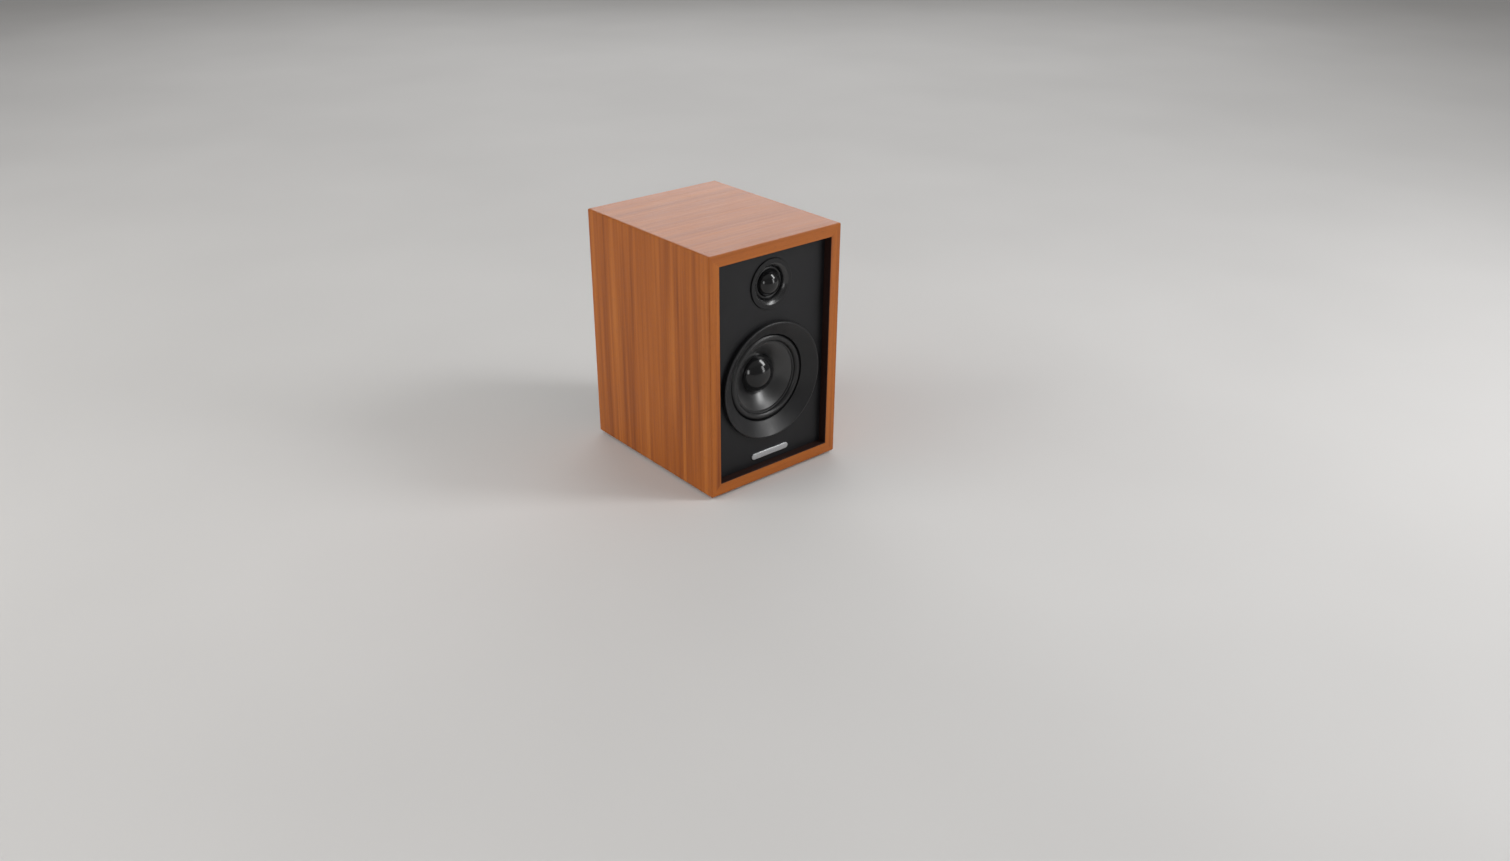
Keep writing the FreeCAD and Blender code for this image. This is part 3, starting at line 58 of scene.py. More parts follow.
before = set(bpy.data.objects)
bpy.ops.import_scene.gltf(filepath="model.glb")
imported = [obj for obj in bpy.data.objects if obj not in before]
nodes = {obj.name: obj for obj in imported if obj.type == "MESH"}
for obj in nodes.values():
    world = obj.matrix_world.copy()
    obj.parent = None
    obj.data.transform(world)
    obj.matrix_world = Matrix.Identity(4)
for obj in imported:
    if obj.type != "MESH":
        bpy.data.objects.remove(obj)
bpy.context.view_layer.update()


def span(name, axis):
    """The lowest and highest coordinate of a CAD node along an axis, in millimetres."""
    low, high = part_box(name)
    return low[axis] / MM, high[axis] / MM


def middle(name, axis):
    """The middle of a CAD node along an axis, in millimetres."""
    return sum(span(name, axis)) / 2


BAFFLE_FRONT = span("front_baffle", Y)[0]
BACK_FACE = span("back_panel", Y)[1]
WOOFER_LEVEL = middle("woofer_cone", Z)
TWEETER_LEVEL = middle("tweeter_dome", Z)
CABINET_MIDDLE = middle("left_side_panel", Z)
INNER_X = span("front_baffle", X)[1] + 0.25
INNER_Z = span("front_baffle", Z)[1] + 0.25 - CABINET_MIDDLE


# Node graphs --------------------------------------------------------------------------------------


def shade(red, green, blue):
    """A linear colour from display values of 0 to 255."""
    return (*(((value / 255 + 0.055) / 1.055) ** 2.4 for value in (red, green, blue)), 1.0)


class Look:
    """A procedural material. Its textures read the model's own points, so that each pattern has its
    real size."""

    def __init__(self, name, **constants):
        self.material = bpy.data.materials.new(name)
        self.material.use_nodes = True
        self.tree = self.material.node_tree
        self.shader = self.tree.nodes["Principled BSDF"]
        for key, value in constants.items():
            label = key.replace("_", " ").title().replace("Ior", "IOR")
            self.shader.inputs[label].default_value = value

    def feed(self, node, inputs):
        """Sets or links a node's sockets, each named by its label or its number."""
        for key, value in inputs.items():
            if isinstance(value, bpy.types.NodeSocket):
                self.tree.links.new(value, node.inputs[key])
            else:
                node.inputs[key].default_value = value

    def add(self, kind, inputs, output=0, **options):
        """A new node's output socket."""
        node = self.tree.nodes.new("ShaderNode" + kind)
        for key, value in options.items():
            setattr(node, key, value)
        self.feed(node, inputs)
        return node.outputs[output]

    def points(self, size):
        """The model's points, counted in cells of the given size in millimetres."""
        place = self.add("TexCoord", {}, "Object")
        scale = [1 / (length * MM) for length in size]
        return self.add("Mapping", {"Vector": place, "Scale": scale})

    def along(self, axis):
        """The points' coordinate on an axis, in millimetres."""
        return self.add("SeparateXYZ", {0: self.points((1, 1, 1))}, axis)

    def noise(self, size, detail=2.0, rough=0.5, warp=0.0):
        """Soft noise from 0 to 1 with features of about the given size in millimetres."""
        size = size if hasattr(size, "__len__") else (size,) * 3
        inputs = {"Vector": self.points(size), "Scale": 1.0, "Detail": detail, "Roughness": rough}
        return self.add("TexNoise", {**inputs, "Distortion": warp})

    def turns(self, axis, pitch):
        """Waves from 0 to 1 that repeat along an axis once in each pitch."""
        size = [UNBOUNDED] * 3
        size[axis] = pitch * 2 * math.pi
        inputs = {"Vector": self.points(size), "Scale": 1.0}
        return self.add("TexWave", inputs, 1, bands_direction="XYZ"[axis])

    def count(self, operation, *values):
        """A math node of one to three values."""
        return self.add("Math", dict(enumerate(values)), operation=operation)

    def spread(self, value, low, high, bottom=0.0, top=1.0):
        """value mapped so that low and high give bottom and top, and held between them."""
        return self.add("MapRange", {"Value": value, 1: low, 2: high, 3: bottom, 4: top})

    def between(self, axis, low, high):
        """1 where the coordinate on an axis lies between two values, and 0 elsewhere."""
        place = self.along(axis)
        over, under = self.count("GREATER_THAN", place, low), self.count("LESS_THAN", place, high)
        return self.count("MULTIPLY", over, under)

    def mix(self, share, first, second):
        """first where share is 0, second where it is 1."""
        return self.add("Mix", {0: share, 6: first, 7: second}, 2, data_type="RGBA")

    def ramp(self, value, *stops):
        """A colour from a value by stops of (position, colour)."""
        socket = self.add("ValToRGB", {0: value})
        elements = socket.node.color_ramp.elements
        for number, (position, colour) in enumerate(stops):
            stop = elements[number] if number < 2 else elements.new(position)
            stop.position, stop.color = position, colour
        return socket

    def paint(self, colour=None, roughness=None, metallic=None):
        """Links what isn't the same all over to the shader."""
        values = {"Base Color": colour, "Roughness": roughness, "Metallic": metallic}
        self.feed(self.shader, {key: value for key, value in values.items() if value is not None})

    def link_to(self, label):
        """The link into one of the shader's sockets, or None."""
        socket = self.shader.inputs[label]
        return next((link for link in self.tree.links if link.to_socket == socket), None)

    def emboss(self, height, depth):
        """Adds relief of a depth in millimetres on top of what is there."""
        inputs = {"Height": height, "Strength": 1.0, "Distance": depth * MM}
        link = self.link_to("Normal")
        if link:
            inputs["Normal"] = link.from_socket
        self.feed(self.shader, {"Normal": self.add("Bump", inputs)})


# Materials ----------------------------------------------------------------------------------------


def moulded(name, colour, roughness, grain=0.5, depth=0.02, mottle=0.15, metallic=0.0, **constants):
    """An even material with a fine grain: plastic, rubber, paint or metal, by its constants. grain
    is its grain's size and depth its relief, in millimetres, and mottle is how far its colour
    varies."""
    look = Look(name, metallic=metallic, **constants)
    cloud, fine = look.noise(14.0, 3), look.noise(grain, 3, 0.6)
    dark = (*(part * (1 - mottle) for part in colour[:3]), 1)
    pale = (*(min(part * (1 + mottle) + 0.002, 1) for part in colour[:3]), 1)
    both = look.count("MULTIPLY_ADD", fine, 0.4, look.count("MULTIPLY", cloud, 0.6))
    shine = look.spread(both, 0.3, 0.7, roughness * 0.88, min(roughness * 1.14, 1))
    look.paint(look.ramp(both, (0.3, dark), (0.7, pale)), shine)
    look.emboss(fine, depth)
    return look


def veneer(name, grain, figuring):
    """Warm walnut veneer in satin lacquer with its grain along one axis, on a board that is bare
    inside the cabinet. The walls of the recesses before the baffle and behind the back panel are
    painted dark red-brown as painted shade.
    A larger figuring has more contrast between its bands."""
    look = Look(name, specular_ior_level=0.34)

    def cell(across, length):
        size = [across] * 3
        size[grain] = length
        return size

    bands = look.noise(cell(13, 420), 3, 0.55, 0.5)
    streaks = look.noise(cell(4.2, 260), 4, 0.6, 0.3)
    fibres = look.noise(cell(0.75, 42), 3, 0.6)
    pores = look.noise(cell(0.42, 6.5), 1)
    figure = look.count("MULTIPLY_ADD", bands, 0.46, look.count("MULTIPLY", streaks, 0.38))
    figure = look.count("MULTIPLY_ADD", fibres, 0.16, figure)
    wood = look.ramp(
        look.spread(figure, 0.5 - 0.18 / figuring, 0.5 + 0.18 / figuring),
        (0.0, shade(126, 60, 17)),
        (1.0, shade(199, 120, 48)),
        (0.35, shade(161, 86, 26)),
        (0.6, shade(178, 99, 32)),
    )
    wood = look.mix(look.spread(pores, 0.63, 0.74, 0, 0.4), wood, shade(92, 42, 15))
    chips = look.noise(0.8, 4, 0.7)
    board = look.ramp(chips, (0.3, shade(150, 118, 84)), (0.7, shade(186, 152, 112)))
    height = look.count("ABSOLUTE", look.count("SUBTRACT", look.along(Z), CABINET_MIDDLE))
    inside = look.count("LESS_THAN", height, INNER_Z + WALL_MARGIN)
    wall = INNER_X + WALL_MARGIN
    inside = look.count("MULTIPLY", inside, look.between(X, -wall, wall))
    sealed = look.between(Y, BAFFLE_FRONT + 1, BACK_FACE - 1)
    # painted shade: dark red-brown on the recess walls; bare board within the cabinet
    board_or_painted_shade = look.mix(sealed, shade(42, 18, 11), board)
    lacquer = look.spread(fibres, 0.3, 0.7, 0.36, 0.5)
    look.paint(look.mix(inside, wood, board_or_painted_shade), look.count("MULTIPLY_ADD", inside, 0.25, lacquer))
    look.emboss(fibres, 0.03)
    look.emboss(look.spread(pores, 0.6, 0.74, 1, 0), 0.05)
    return look


def wrapped_board(name):
    """Satin black vinyl on board, with a fine leather-like grain."""
    look = Look(name, specular_ior_level=0.3)
    cells = {"Vector": look.points((0.7, 0.7, 0.7)), "Scale": 1.0}
    grain = look.add("TexVoronoi", cells, feature="SMOOTH_F1")
    cloud = look.noise(30, 3)
    look.paint(look.ramp(cloud, (0.3, shade(19, 19, 21)), (0.7, shade(26, 26, 29))))
    look.paint(roughness=look.spread(cloud, 0.3, 0.7, 0.4, 0.5))
    look.emboss(grain, 0.04)
    return look


def raw_board(name):
    """Bare fibreboard: warm brown with short fibres."""
    look = Look(name, specular_ior_level=0.2)
    fibres = look.noise((3, 0.5, 0.5), 4, 0.7)
    flecks = look.noise(0.6, 2, 0.7)
    both = look.count("MULTIPLY_ADD", fibres, 0.6, look.count("MULTIPLY", flecks, 0.4))
    look.paint(look.ramp(both, (0.32, shade(146, 112, 78)), (0.68, shade(192, 158, 118))))
    look.paint(roughness=look.spread(both, 0.3, 0.7, 0.8, 0.95))
    look.emboss(flecks, 0.08)
    return look


def brushed(name, colour, roughness, brush, metallic=1.0):
    """Metal brushed along the long side of its noise cells."""
    look = Look(name, metallic=metallic)
    lines = look.noise(brush, 3, 0.6)
    dark = (*(part * 0.84 for part in colour[:3]), 1)
    look.paint(look.ramp(lines, (0.3, dark), (0.7, colour)))
    look.paint(roughness=look.spread(lines, 0.3, 0.7, roughness, roughness * 1.5))
    look.emboss(lines, 0.01)
    return look


def wound(name, axis, pitch, bobbins=()):
    """Enamelled copper in even turns along an axis. bobbins are (low x, high x, low z, high z) of
    its windings; all else is the white plastic of the spools. With no bobbins it is copper all
    over."""
    look = Look(name)
    turns = look.turns(axis, pitch)
    cloud = look.noise(6, 2)
    copper = look.ramp(turns, (0.1, shade(98, 42, 20)), (0.8, shade(205, 112, 66)))
    copper = look.mix(look.spread(cloud, 0.3, 0.7, 0, 0.25), copper, shade(150, 70, 34))
    if not bobbins:
        look.paint(copper, look.spread(cloud, 0.3, 0.7, 0.25, 0.36), 0.9)
        look.emboss(turns, 0.08)
        return look
    wire = 0.0
    for low_x, high_x, low_z, high_z in bobbins:
        across, up = look.between(X, low_x, high_x), look.between(Z, low_z, high_z)
        wire = look.count("ADD", wire, look.count("MULTIPLY", across, up))
    look.paint(look.mix(wire, shade(222, 220, 208), copper))
    look.paint(roughness=look.spread(cloud, 0.3, 0.7, 0.26, 0.4))
    look.paint(metallic=look.count("MULTIPLY", wire, 0.9))
    look.emboss(look.count("MULTIPLY", turns, wire), 0.12)
    return look


def woven(name, warp, weft, pitch):
    """Cloth of two thread colours crossing at right angles in the XZ plane, stiffened with
    resin."""
    look = Look(name, sheen_weight=0.2)
    threads = [look.turns(axis, pitch) for axis in (X, Z)]
    over = look.count("GREATER_THAN", *threads)
    top = look.count("MAXIMUM", *threads)
    holes = look.spread(top, 0.3, 1, 0.6, 0)
    look.paint(look.mix(holes, look.mix(over, weft, warp), shade(70, 48, 20)), 0.85)
    look.emboss(top, 0.15)
    return look


def fluffy(name):
    """Polyester wadding: off-white, matted fibres at two scales."""
    look = Look(name, sheen_weight=0.4, sheen_roughness=0.6, specular_ior_level=0.1)
    clumps, fibres = look.noise(9, 4, 0.65, 0.8), look.noise((0.5, 2.2, 2.2), 5, 0.75, 1.2)
    both = look.count("MULTIPLY_ADD", clumps, 0.5, look.count("MULTIPLY", fibres, 0.5))
    look.paint(look.ramp(both, (0.32, shade(182, 180, 172)), (0.66, shade(238, 237, 231))), 0.95)
    look.emboss(clumps, 1.2)
    look.emboss(fibres, 0.5)
    return look


def foam(name):
    """Open-cell foam: near-black with small pits."""
    look = Look(name, specular_ior_level=0.2)
    pits = look.add("TexVoronoi", {"Vector": look.points((0.6, 0.6, 0.6)), "Scale": 1.0})
    look.paint(look.ramp(pits, (0.15, shade(14, 14, 15)), (0.7, shade(46, 46, 48))), 0.95)
    look.emboss(pits, 0.3)
    return look


def circuit(name):
    """Green lacquered laminate with broad copper tracks that show through the lacquer."""
    look = Look(name, coat_weight=0.5, coat_roughness=0.15)
    pattern = {"Scale": 1.0, "Mortar Size": 0.16, "Brick Width": 1.4, "Row Height": 0.9}
    tracks = look.add("TexBrick", {"Vector": look.points((9, 9, 9)), **pattern}, 1)
    weave = look.noise((0.4, 0.4, 0.4), 2)
    lacquer = look.ramp(weave, (0.3, shade(14, 74, 38)), (0.7, shade(24, 98, 50)))
    look.paint(look.mix(tracks, lacquer, shade(64, 132, 58)))
    look.paint(roughness=look.spread(weave, 0.3, 0.7, 0.28, 0.4))
    look.emboss(tracks, 0.035)
    return look


def two_tone(name, axis, edge, low_colour, high_colour, roughness):
    """A smooth sleeve or can whose colour changes where an axis passes an edge, with faint
    scuffs."""
    look = Look(name)
    scuffs = look.noise(5, 4, 0.6)
    side = look.count("GREATER_THAN", look.along(axis), edge)
    plain = look.mix(side, low_colour, high_colour)
    look.paint(look.mix(look.spread(scuffs, 0.4, 0.75, 0, 0.12), plain, shade(150, 148, 144)))
    look.paint(roughness=look.spread(scuffs, 0.3, 0.7, roughness * 0.85, roughness * 1.15))
    look.emboss(scuffs, 0.03)
    return look


def marked_plastic(name):
    """The terminal cup's plastic, with its raised plus and minus marks printed in silver."""
    look = moulded(name, shade(26, 26, 28), 0.42, 0.6, 0.03)
    plastic = look.link_to("Base Color").from_socket
    level, recess = middle("red_post_collar", Z) + 12, span("red_post_collar", Y)[0]
    mark = look.between(Z, level - 3, level + 3)
    mark = look.count("MULTIPLY", mark, look.between(Y, recess + 0.3, recess + 1))
    mark = look.count("MULTIPLY", mark, look.between(X, -14, 14))
    look.paint(look.mix(mark, plastic, shade(205, 205, 205)))
    return look


# Pieces -------------------------------------------------------------------------------------------


def add_piece(name, mesh, look):
    """A new piece with its material, smooth except at its corners."""
    mesh.materials.append(look.material)
    mesh.polygons.foreach_set("use_smooth", [True] * len(mesh.polygons))
    mesh.set_sharp_from_angle(angle=math.radians(40))
    piece = bpy.data.objects.new(name, mesh)
    bpy.context.scene.collection.objects.link(piece)
    return piece


def mesh_of(name, points, faces):
    """A mesh of points in millimetres, with its faces turned outwards."""
    mesh = bpy.data.meshes.new(name)
    mesh.from_pydata([Vector(point) * MM for point in points], [], faces)
    work = bmesh.new()
    work.from_mesh(mesh)
    bmesh.ops.recalc_face_normals(work, faces=work.faces)
    work.to_mesh(mesh)
    work.free()
    return mesh


def arc(centre, radii, start, end, steps):
    """Points on an ellipse in the (radius, forward) plane, from one angle to another in degrees."""
    line = []
    for step in range(steps + 1):
        angle = math.radians(start + (end - start) * step / steps)
        radius = centre[0] + radii[0] * math.cos(angle)
        line.append((radius, centre[1] + radii[1] * math.sin(angle)))
    return line


def eased(line, times=2):
    """A line with its corners cut back, so that it bends instead of turning sharply."""
    for _ in range(times):
        points = [line[0]]
        for (r0, s0), (r1, s1) in zip(line, line[1:]):
            points.append((0.75 * r0 + 0.25 * r1, 0.75 * s0 + 0.25 * s1))
            points.append((0.25 * r0 + 0.75 * r1, 0.25 * s0 + 0.75 * s1))
        line = [*points, line[-1]]
    return line


def skin(line, thickness):
    """The closed outline of a sheet of even thickness along a line."""
    ends = np.array(line)
    run = np.gradient(ends, axis=0)
    side = np.stack([-run[:, 1], run[:, 0]], 1)
    side *= thickness / 2 / np.linalg.norm(side, axis=1, keepdims=True)
    return [*map(tuple, ends + side), *map(tuple, (ends - side)[::-1])]


def turned_mesh(name, outline, level, steps=192):
    """A closed (radius, forward) outline turned about a driver's axis."""
    points, faces, size = [], [], len(outline)
    for step in range(steps):
        angle = 2 * math.pi * step / steps
        right, up = math.cos(angle), math.sin(angle)
        points += [(r * right, BAFFLE_FRONT - s, level + r * up) for r, s in outline]
        near, far = step * size, (step + 1) % steps * size
        for i in range(size):
            after = (i + 1) % size
            faces.append((near + i, near + after, far + after, far + i))
    return mesh_of(name, points, faces)


def flexing_ring(name, line, thickness, level, look, body, outer, inner):
    """A turned sheet that stands for a CAD node. It holds still outside the outer radius, moves
    with a driver's body inside the inner one, and bends smoothly between them: the blend's weights
    are set anew from each point's radius, because a blend by itself follows a straight line."""
    mesh = turned_mesh(name + "_moulding", skin(line, thickness), level)
    piece = add_piece(name + "_moulding", mesh, look)
    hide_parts(name)
    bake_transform(piece, "cabinet_body", body, (0, 0, level * MM), (0, -MM, level * MM))
    points = np.array([vertex.co for vertex in mesh.vertices]) / MM
    radii = np.hypot(points[:, X], points[:, Z] - level)
    share = np.clip((outer - radii) / (outer - inner), 0, 1)
    weights = share * share * (3 - 2 * share)
    mesh.attributes["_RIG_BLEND"].data.foreach_set("value", weights.astype(np.float32))
    return piece


def woofer_surround(look):
    """The half-roll rubber surround: flat lips on the basket and on the cone, and a round roll
    between them."""
    reach, rise, half = span("woofer_surround", X)[1], 3.2, 3.15
    thickness, frame_bore, cone_lip = 0.62, 43.4, 34.8
    back = BAFFLE_FRONT - span("woofer_surround", Y)[1] + thickness / 2 + 0.01
    roll_middle = (span("woofer_cone", X)[1] + frame_bore) / 2
    line = [(reach - 0.1, back), (roll_middle + half + 0.5, back)]
    line += arc((roll_middle, back + 0.1), (half, rise), 8, 172, 20)
    line += [(roll_middle - half - 0.5, back), (cone_lip, back)]
    flexing_ring(
        "woofer_surround", eased(line), thickness, WOOFER_LEVEL, look,
        "woofer_cone_body", roll_middle + half, roll_middle - half,
    )


def woofer_spider(look):
    """The corrugated spider: three rolled waves between its landing and the coil former."""
    inner, outer = 13.0, span("woofer_spider", X)[1]
    level = BAFFLE_FRONT - middle("woofer_spider", Y)
    first, last, waves, height = inner + 0.8, outer - 7.4, 3, 0.95
    line = [(inner, level)]
    steps = 72
    for step in range(steps + 1):
        share = step / steps
        ease = min(1, 6 * share, 6 * (1 - share))
        wave = height * ease * math.sin(2 * math.pi * waves * share)
        line.append((first + (last - first) * share, level - wave))
    line.append((outer, level))
    flexing_ring(
        "woofer_spider", line, 0.45, WOOFER_LEVEL, look,
        "woofer_cone_body", last, first,
    )


def tweeter_surround(look):
    """The tweeter's small half roll between its clamped rim and the dome."""
    outer, dome = span("tweeter_surround", X)[1], span("tweeter_dome", X)[1]
    back = BAFFLE_FRONT - span("tweeter_surround", Y)[1] + 0.55
    roll_middle, half, rise = dome + 1.45, 1.15, 1.0
    line = [(outer, back), (roll_middle + half + 0.2, back)]
    line += arc((roll_middle, back), (half, rise), 10, 170, 14)
    line += [(dome - 0.05, back)]
    flexing_ring(
        "tweeter_surround", eased(line), 0.26, TWEETER_LEVEL, look,
        "tweeter_dome_body", roll_middle + half, roll_middle - half,
    )


def centreline(route):
    """Points along the smooth NURBS line that a route of control points gives."""
    curve = bpy.data.curves.new("route", "CURVE")
    curve.dimensions = "3D"
    curve.resolution_u = 12
    spline = curve.splines.new("NURBS")
    spline.points.add(len(route) - 1)
    for point, place in zip(spline.points, route):
        point.co = (*(value * MM for value in place), 1)
    spline.order_u, spline.use_endpoint_u = 3, True
    holder = bpy.data.objects.new("route", curve)
    mesh = bpy.data.meshes.new_from_object(holder)
    line = [vertex.co.copy() / MM for vertex in mesh.vertices]
    bpy.data.objects.remove(holder)
    bpy.data.curves.remove(curve)
    bpy.data.meshes.remove(mesh)
    return line


def strands(line, radius, offset, number, pitch, sides=8):
    """Points and faces of round strands twisted about a line."""
    points, faces = [], []
    for strand in range(number):
        side, travelled, first = Vector((1, 0, 0)), 0.0, len(points)
        for index, place in enumerate(line):
            ahead = (line[min(index + 1, len(line) - 1)] - line[max(index - 1, 0)]).normalized()
            side = (side - ahead * side.dot(ahead)).normalized()
            across = ahead.cross(side)
            travelled += (place - line[max(index - 1, 0)]).length
            turn = 2 * math.pi * (travelled / pitch + strand / number)
            centre = place + (side * math.cos(turn) + across * math.sin(turn)) * offset
            for corner in range(sides):
                a = 2 * math.pi * corner / sides
                points.append(centre + (side * math.cos(a) + across * math.sin(a)) * radius)
        rings = len(line)
        for near in range(first, first + (rings - 1) * sides, sides):
            far = near + sides
            for corner in range(sides):
                after = (corner + 1) % sides
                faces.append((near + corner, near + after, far + after, far + corner))
        faces.append(tuple(range(first, first + sides))[::-1])
        faces.append(tuple(range(first + (rings - 1) * sides, first + rings * sides)))
    return points, faces


def tinsel_leads(look):
    """The two braided leads from the terminal strip to the back of the cone, which flex as it
    moves."""
    route = [(9.4, 28.2, -33.4), (9.4, 24.4, -33.4), (9.8, 20.6, -31)]
    route += [(8.6, 18.6, -25.5), (8, 16.9, -22)]
    points, faces = [], []
    for side in (-1, 1):
        line = centreline([(side * x, BAFFLE_FRONT + y, WOOFER_LEVEL + z) for x, y, z in route])
        more, sheets = strands(line, 0.28, 0.24, 3, 2.4)
        faces += [tuple(index + len(points) for index in face) for face in sheets]
        points += more
    mesh = mesh_of("woofer_tinsel_braids", points, faces)
    piece = add_piece("woofer_tinsel_braids", mesh, look)
    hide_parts("woofer_tinsel_leads")
    start, end = (
        Vector((0, BAFFLE_FRONT + y, WOOFER_LEVEL + z)) * MM for _, y, z in (route[0], route[-1])
    )
    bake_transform(piece, "cabinet_body", "woofer_cone_body", start, end)


def pad_mesh(low, high, inset):
    """A closed box between two corners, less an inset, in cells small enough to remesh evenly."""
    work = bmesh.new()
    bmesh.ops.create_cube(work, size=1.0)
    low, high = Vector(low) + Vector(inset), Vector(high) - Vector(inset)
    for vertex in work.verts:
        place = [low[i] + (vertex.co[i] + 0.5) * (high[i] - low[i]) for i in range(3)]
        vertex.co = Vector(place) * MM
    mesh = bpy.data.meshes.new("pad")
    work.to_mesh(mesh)
    work.free()
    return mesh


def applied(piece):
    """Bakes a piece's modifiers into its mesh."""
    seen = piece.evaluated_get(bpy.context.evaluated_depsgraph_get())
    mesh = bpy.data.meshes.new_from_object(seen)
    piece.modifiers.clear()
    piece.data = mesh
    return mesh


def swell(piece, cap):
    """Inflates a closed mesh as stuffed cloth, and holds each point within a distance of where it
    was."""
    voxels = piece.modifiers.new("Remesh", "REMESH")
    voxels.mode, voxels.voxel_size = "VOXEL", 4.5 * MM
    mesh = applied(piece)
    rest = np.array([vertex.co for vertex in mesh.vertices])
    cloth = piece.modifiers.new("Cloth", "CLOTH")
    cloth.settings.use_pressure = True
    cloth.settings.uniform_pressure_force = 4.0
    cloth.settings.effector_weights.gravity = 0.0
    cloth.settings.quality = 6
    scene = bpy.context.scene
    for step in range(1, 21):
        scene.frame_set(step)
    mesh = applied(piece)
    moved = np.array([vertex.co for vertex in mesh.vertices]) - rest
    far = np.linalg.norm(moved, axis=1, keepdims=True)
    moved *= np.minimum(1, cap * MM / np.maximum(far, 1e-9))
    mesh.vertices.foreach_set("co", (rest + moved).astype(np.float32).ravel())
    scene.frame_set(1)


def damping_pad(name, low, high, wall_axis, wall_side, look):
    """One pad of wadding inside a box of space, flat against the wall that it is stapled to: each
    staple draws a dimple in its free face."""
    inset = [2.5, 2.5, 2.5]
    piece = bpy.data.objects.new(name, pad_mesh(low, high, inset))
    bpy.context.scene.collection.objects.link(piece)
    swell(piece, 5.0)
    mesh = piece.data
    co = np.array([vertex.co for vertex in mesh.vertices]) / MM
    low, high = np.array(low, float), np.array(high, float)
    flat = [axis for axis in (X, Y, Z) if axis != wall_axis]
    share = (co - low) / (high - low)
    depth = share[:, wall_axis] if wall_side < 0 else 1 - share[:, wall_axis]
    dimple = np.zeros(len(co))
    first, second = ((co[:, axis] - low[axis], (high - low)[axis]) for axis in flat)
    for u in (0.25, 0.75):
        for v in (0.2, 0.5, 0.8):
            gap = np.hypot(first[0] - u * first[1], second[0] - v * second[1])
            dimple = np.maximum(dimple, np.exp(-((gap / 11.0) ** 2)))
    thick = (high - low)[wall_axis]
    co[:, wall_axis] += wall_side * 0.62 * thick * dimple * np.clip(depth, 0, 1)
    co = np.clip(co, low, high)
    mesh.vertices.foreach_set("co", (co * MM).astype(np.float32).ravel())
    piece.modifiers.new("Subdivision", "SUBSURF").levels = 1
    mesh = applied(piece)
    mesh.materials.clear()
    mesh.materials.append(look.material)
    mesh.polygons.foreach_set("use_smooth", [True] * len(mesh.polygons))
    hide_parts("damping_pads")
    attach(piece, "cabinet_body")


def damping_pads(look):
    """The wadding on both side walls and under the top."""
    low, high = span("damping_pads", X), span("damping_pads", Y)
    bottom, top = span("damping_pads", Z)
    gap, thick = 0.3, 10.0
    wall_top = bottom + 126
    sides = {"left": (low[0] + gap, low[0] + thick, -1), "right": (low[1] - thick, low[1] - gap, 1)}
    for label, (near, far, side) in sides.items():
        corners = (near, high[0], bottom), (far, high[1], wall_top)
        damping_pad(f"damping_pad_{label}", *corners, X, side, look)
    corners = (-50, -46, top - thick), (50, 58, top - gap)
    damping_pad("damping_pad_top", *corners, Z, 1, look)


def dress(looks):
    """Gives every CAD node its material."""
    for look, names in looks:
        for name in names.split():
            data = nodes[name].data
            data.materials.clear()
            data.materials.append(look.material)


def islands(mesh):
    """A number for each polygon's connected solid, in the order in which the solids are first
    met."""
    keys, parent = {}, {}

    def root(item):
        while parent[item] != item:
            parent[item] = parent[parent[item]]
            item = parent[item]
        return item

    corner = {}
    for vertex in mesh.vertices:
        key = tuple(round(value / MM, 3) for value in vertex.co)
        corner[vertex.index] = keys.setdefault(key, len(keys))
        parent.setdefault(corner[vertex.index], corner[vertex.index])
    for polygon in mesh.polygons:
        spots = [corner[index] for index in polygon.vertices]
        for spot in spots[1:]:
            parent[root(spot)] = root(spots[0])
    order = {}
    roots = [root(corner[polygon.vertices[0]]) for polygon in mesh.polygons]
    return [order.setdefault(solid, len(order)) for solid in roots]


def dress_pair(name, looks):
    """Gives the solids of a CAD node their materials in turn."""
    data = nodes[name].data
    data.materials.clear()
    for look in looks:
        data.materials.append(look.material)
    data.polygons.foreach_set("material_index", [number % len(looks) for number in islands(data)])


def dress_faceplate(rim, flare):
    """Gives the tweeter's faceplate its satin rim and its polished flare."""
    flare_radius = 20.2
    data = nodes["tweeter_faceplate"].data
    data.materials.clear()
    for look in (rim, flare):
        data.materials.append(look.material)
    centres = np.array([polygon.center for polygon in data.polygons]) / MM
    radii = np.hypot(centres[:, X], centres[:, Z] - TWEETER_LEVEL)
    data.polygons.foreach_set("material_index", (radii < flare_radius).astype(np.int32))


def dress_cabinet():
    """The cabinet, its boards and what is screwed to them."""
    upright, level = veneer("veneer_upright", Z, 1.0), veneer("veneer_level", X, 0.45)
    zinc = moulded("zinc_screw", shade(196, 196, 190), 0.3, 0.8, 0.01, metallic=1.0)
    dress([
        (upright, "left_side_panel right_side_panel"),
        (level, "top_panel bottom_panel"),
        (wrapped_board("satin_black_vinyl"), "front_baffle back_panel"),
        (raw_board("bare_board"), "window_brace corner_cleats"),
        (moulded("foot_rubber", shade(24, 24, 24), 0.75, 0.4, 0.05), "rubber_feet"),
        (brushed("badge_metal", shade(214, 216, 220), 0.24, (9, 0.12, 0.12)), "badge_plate"),
        (moulded("black_oxide", shade(26, 26, 28), 0.38, 0.8, 0.01, metallic=0.7),
         "back_panel_screws woofer_screws terminal_cup_screws"),
        (zinc, "tweeter_screws"),
    ])


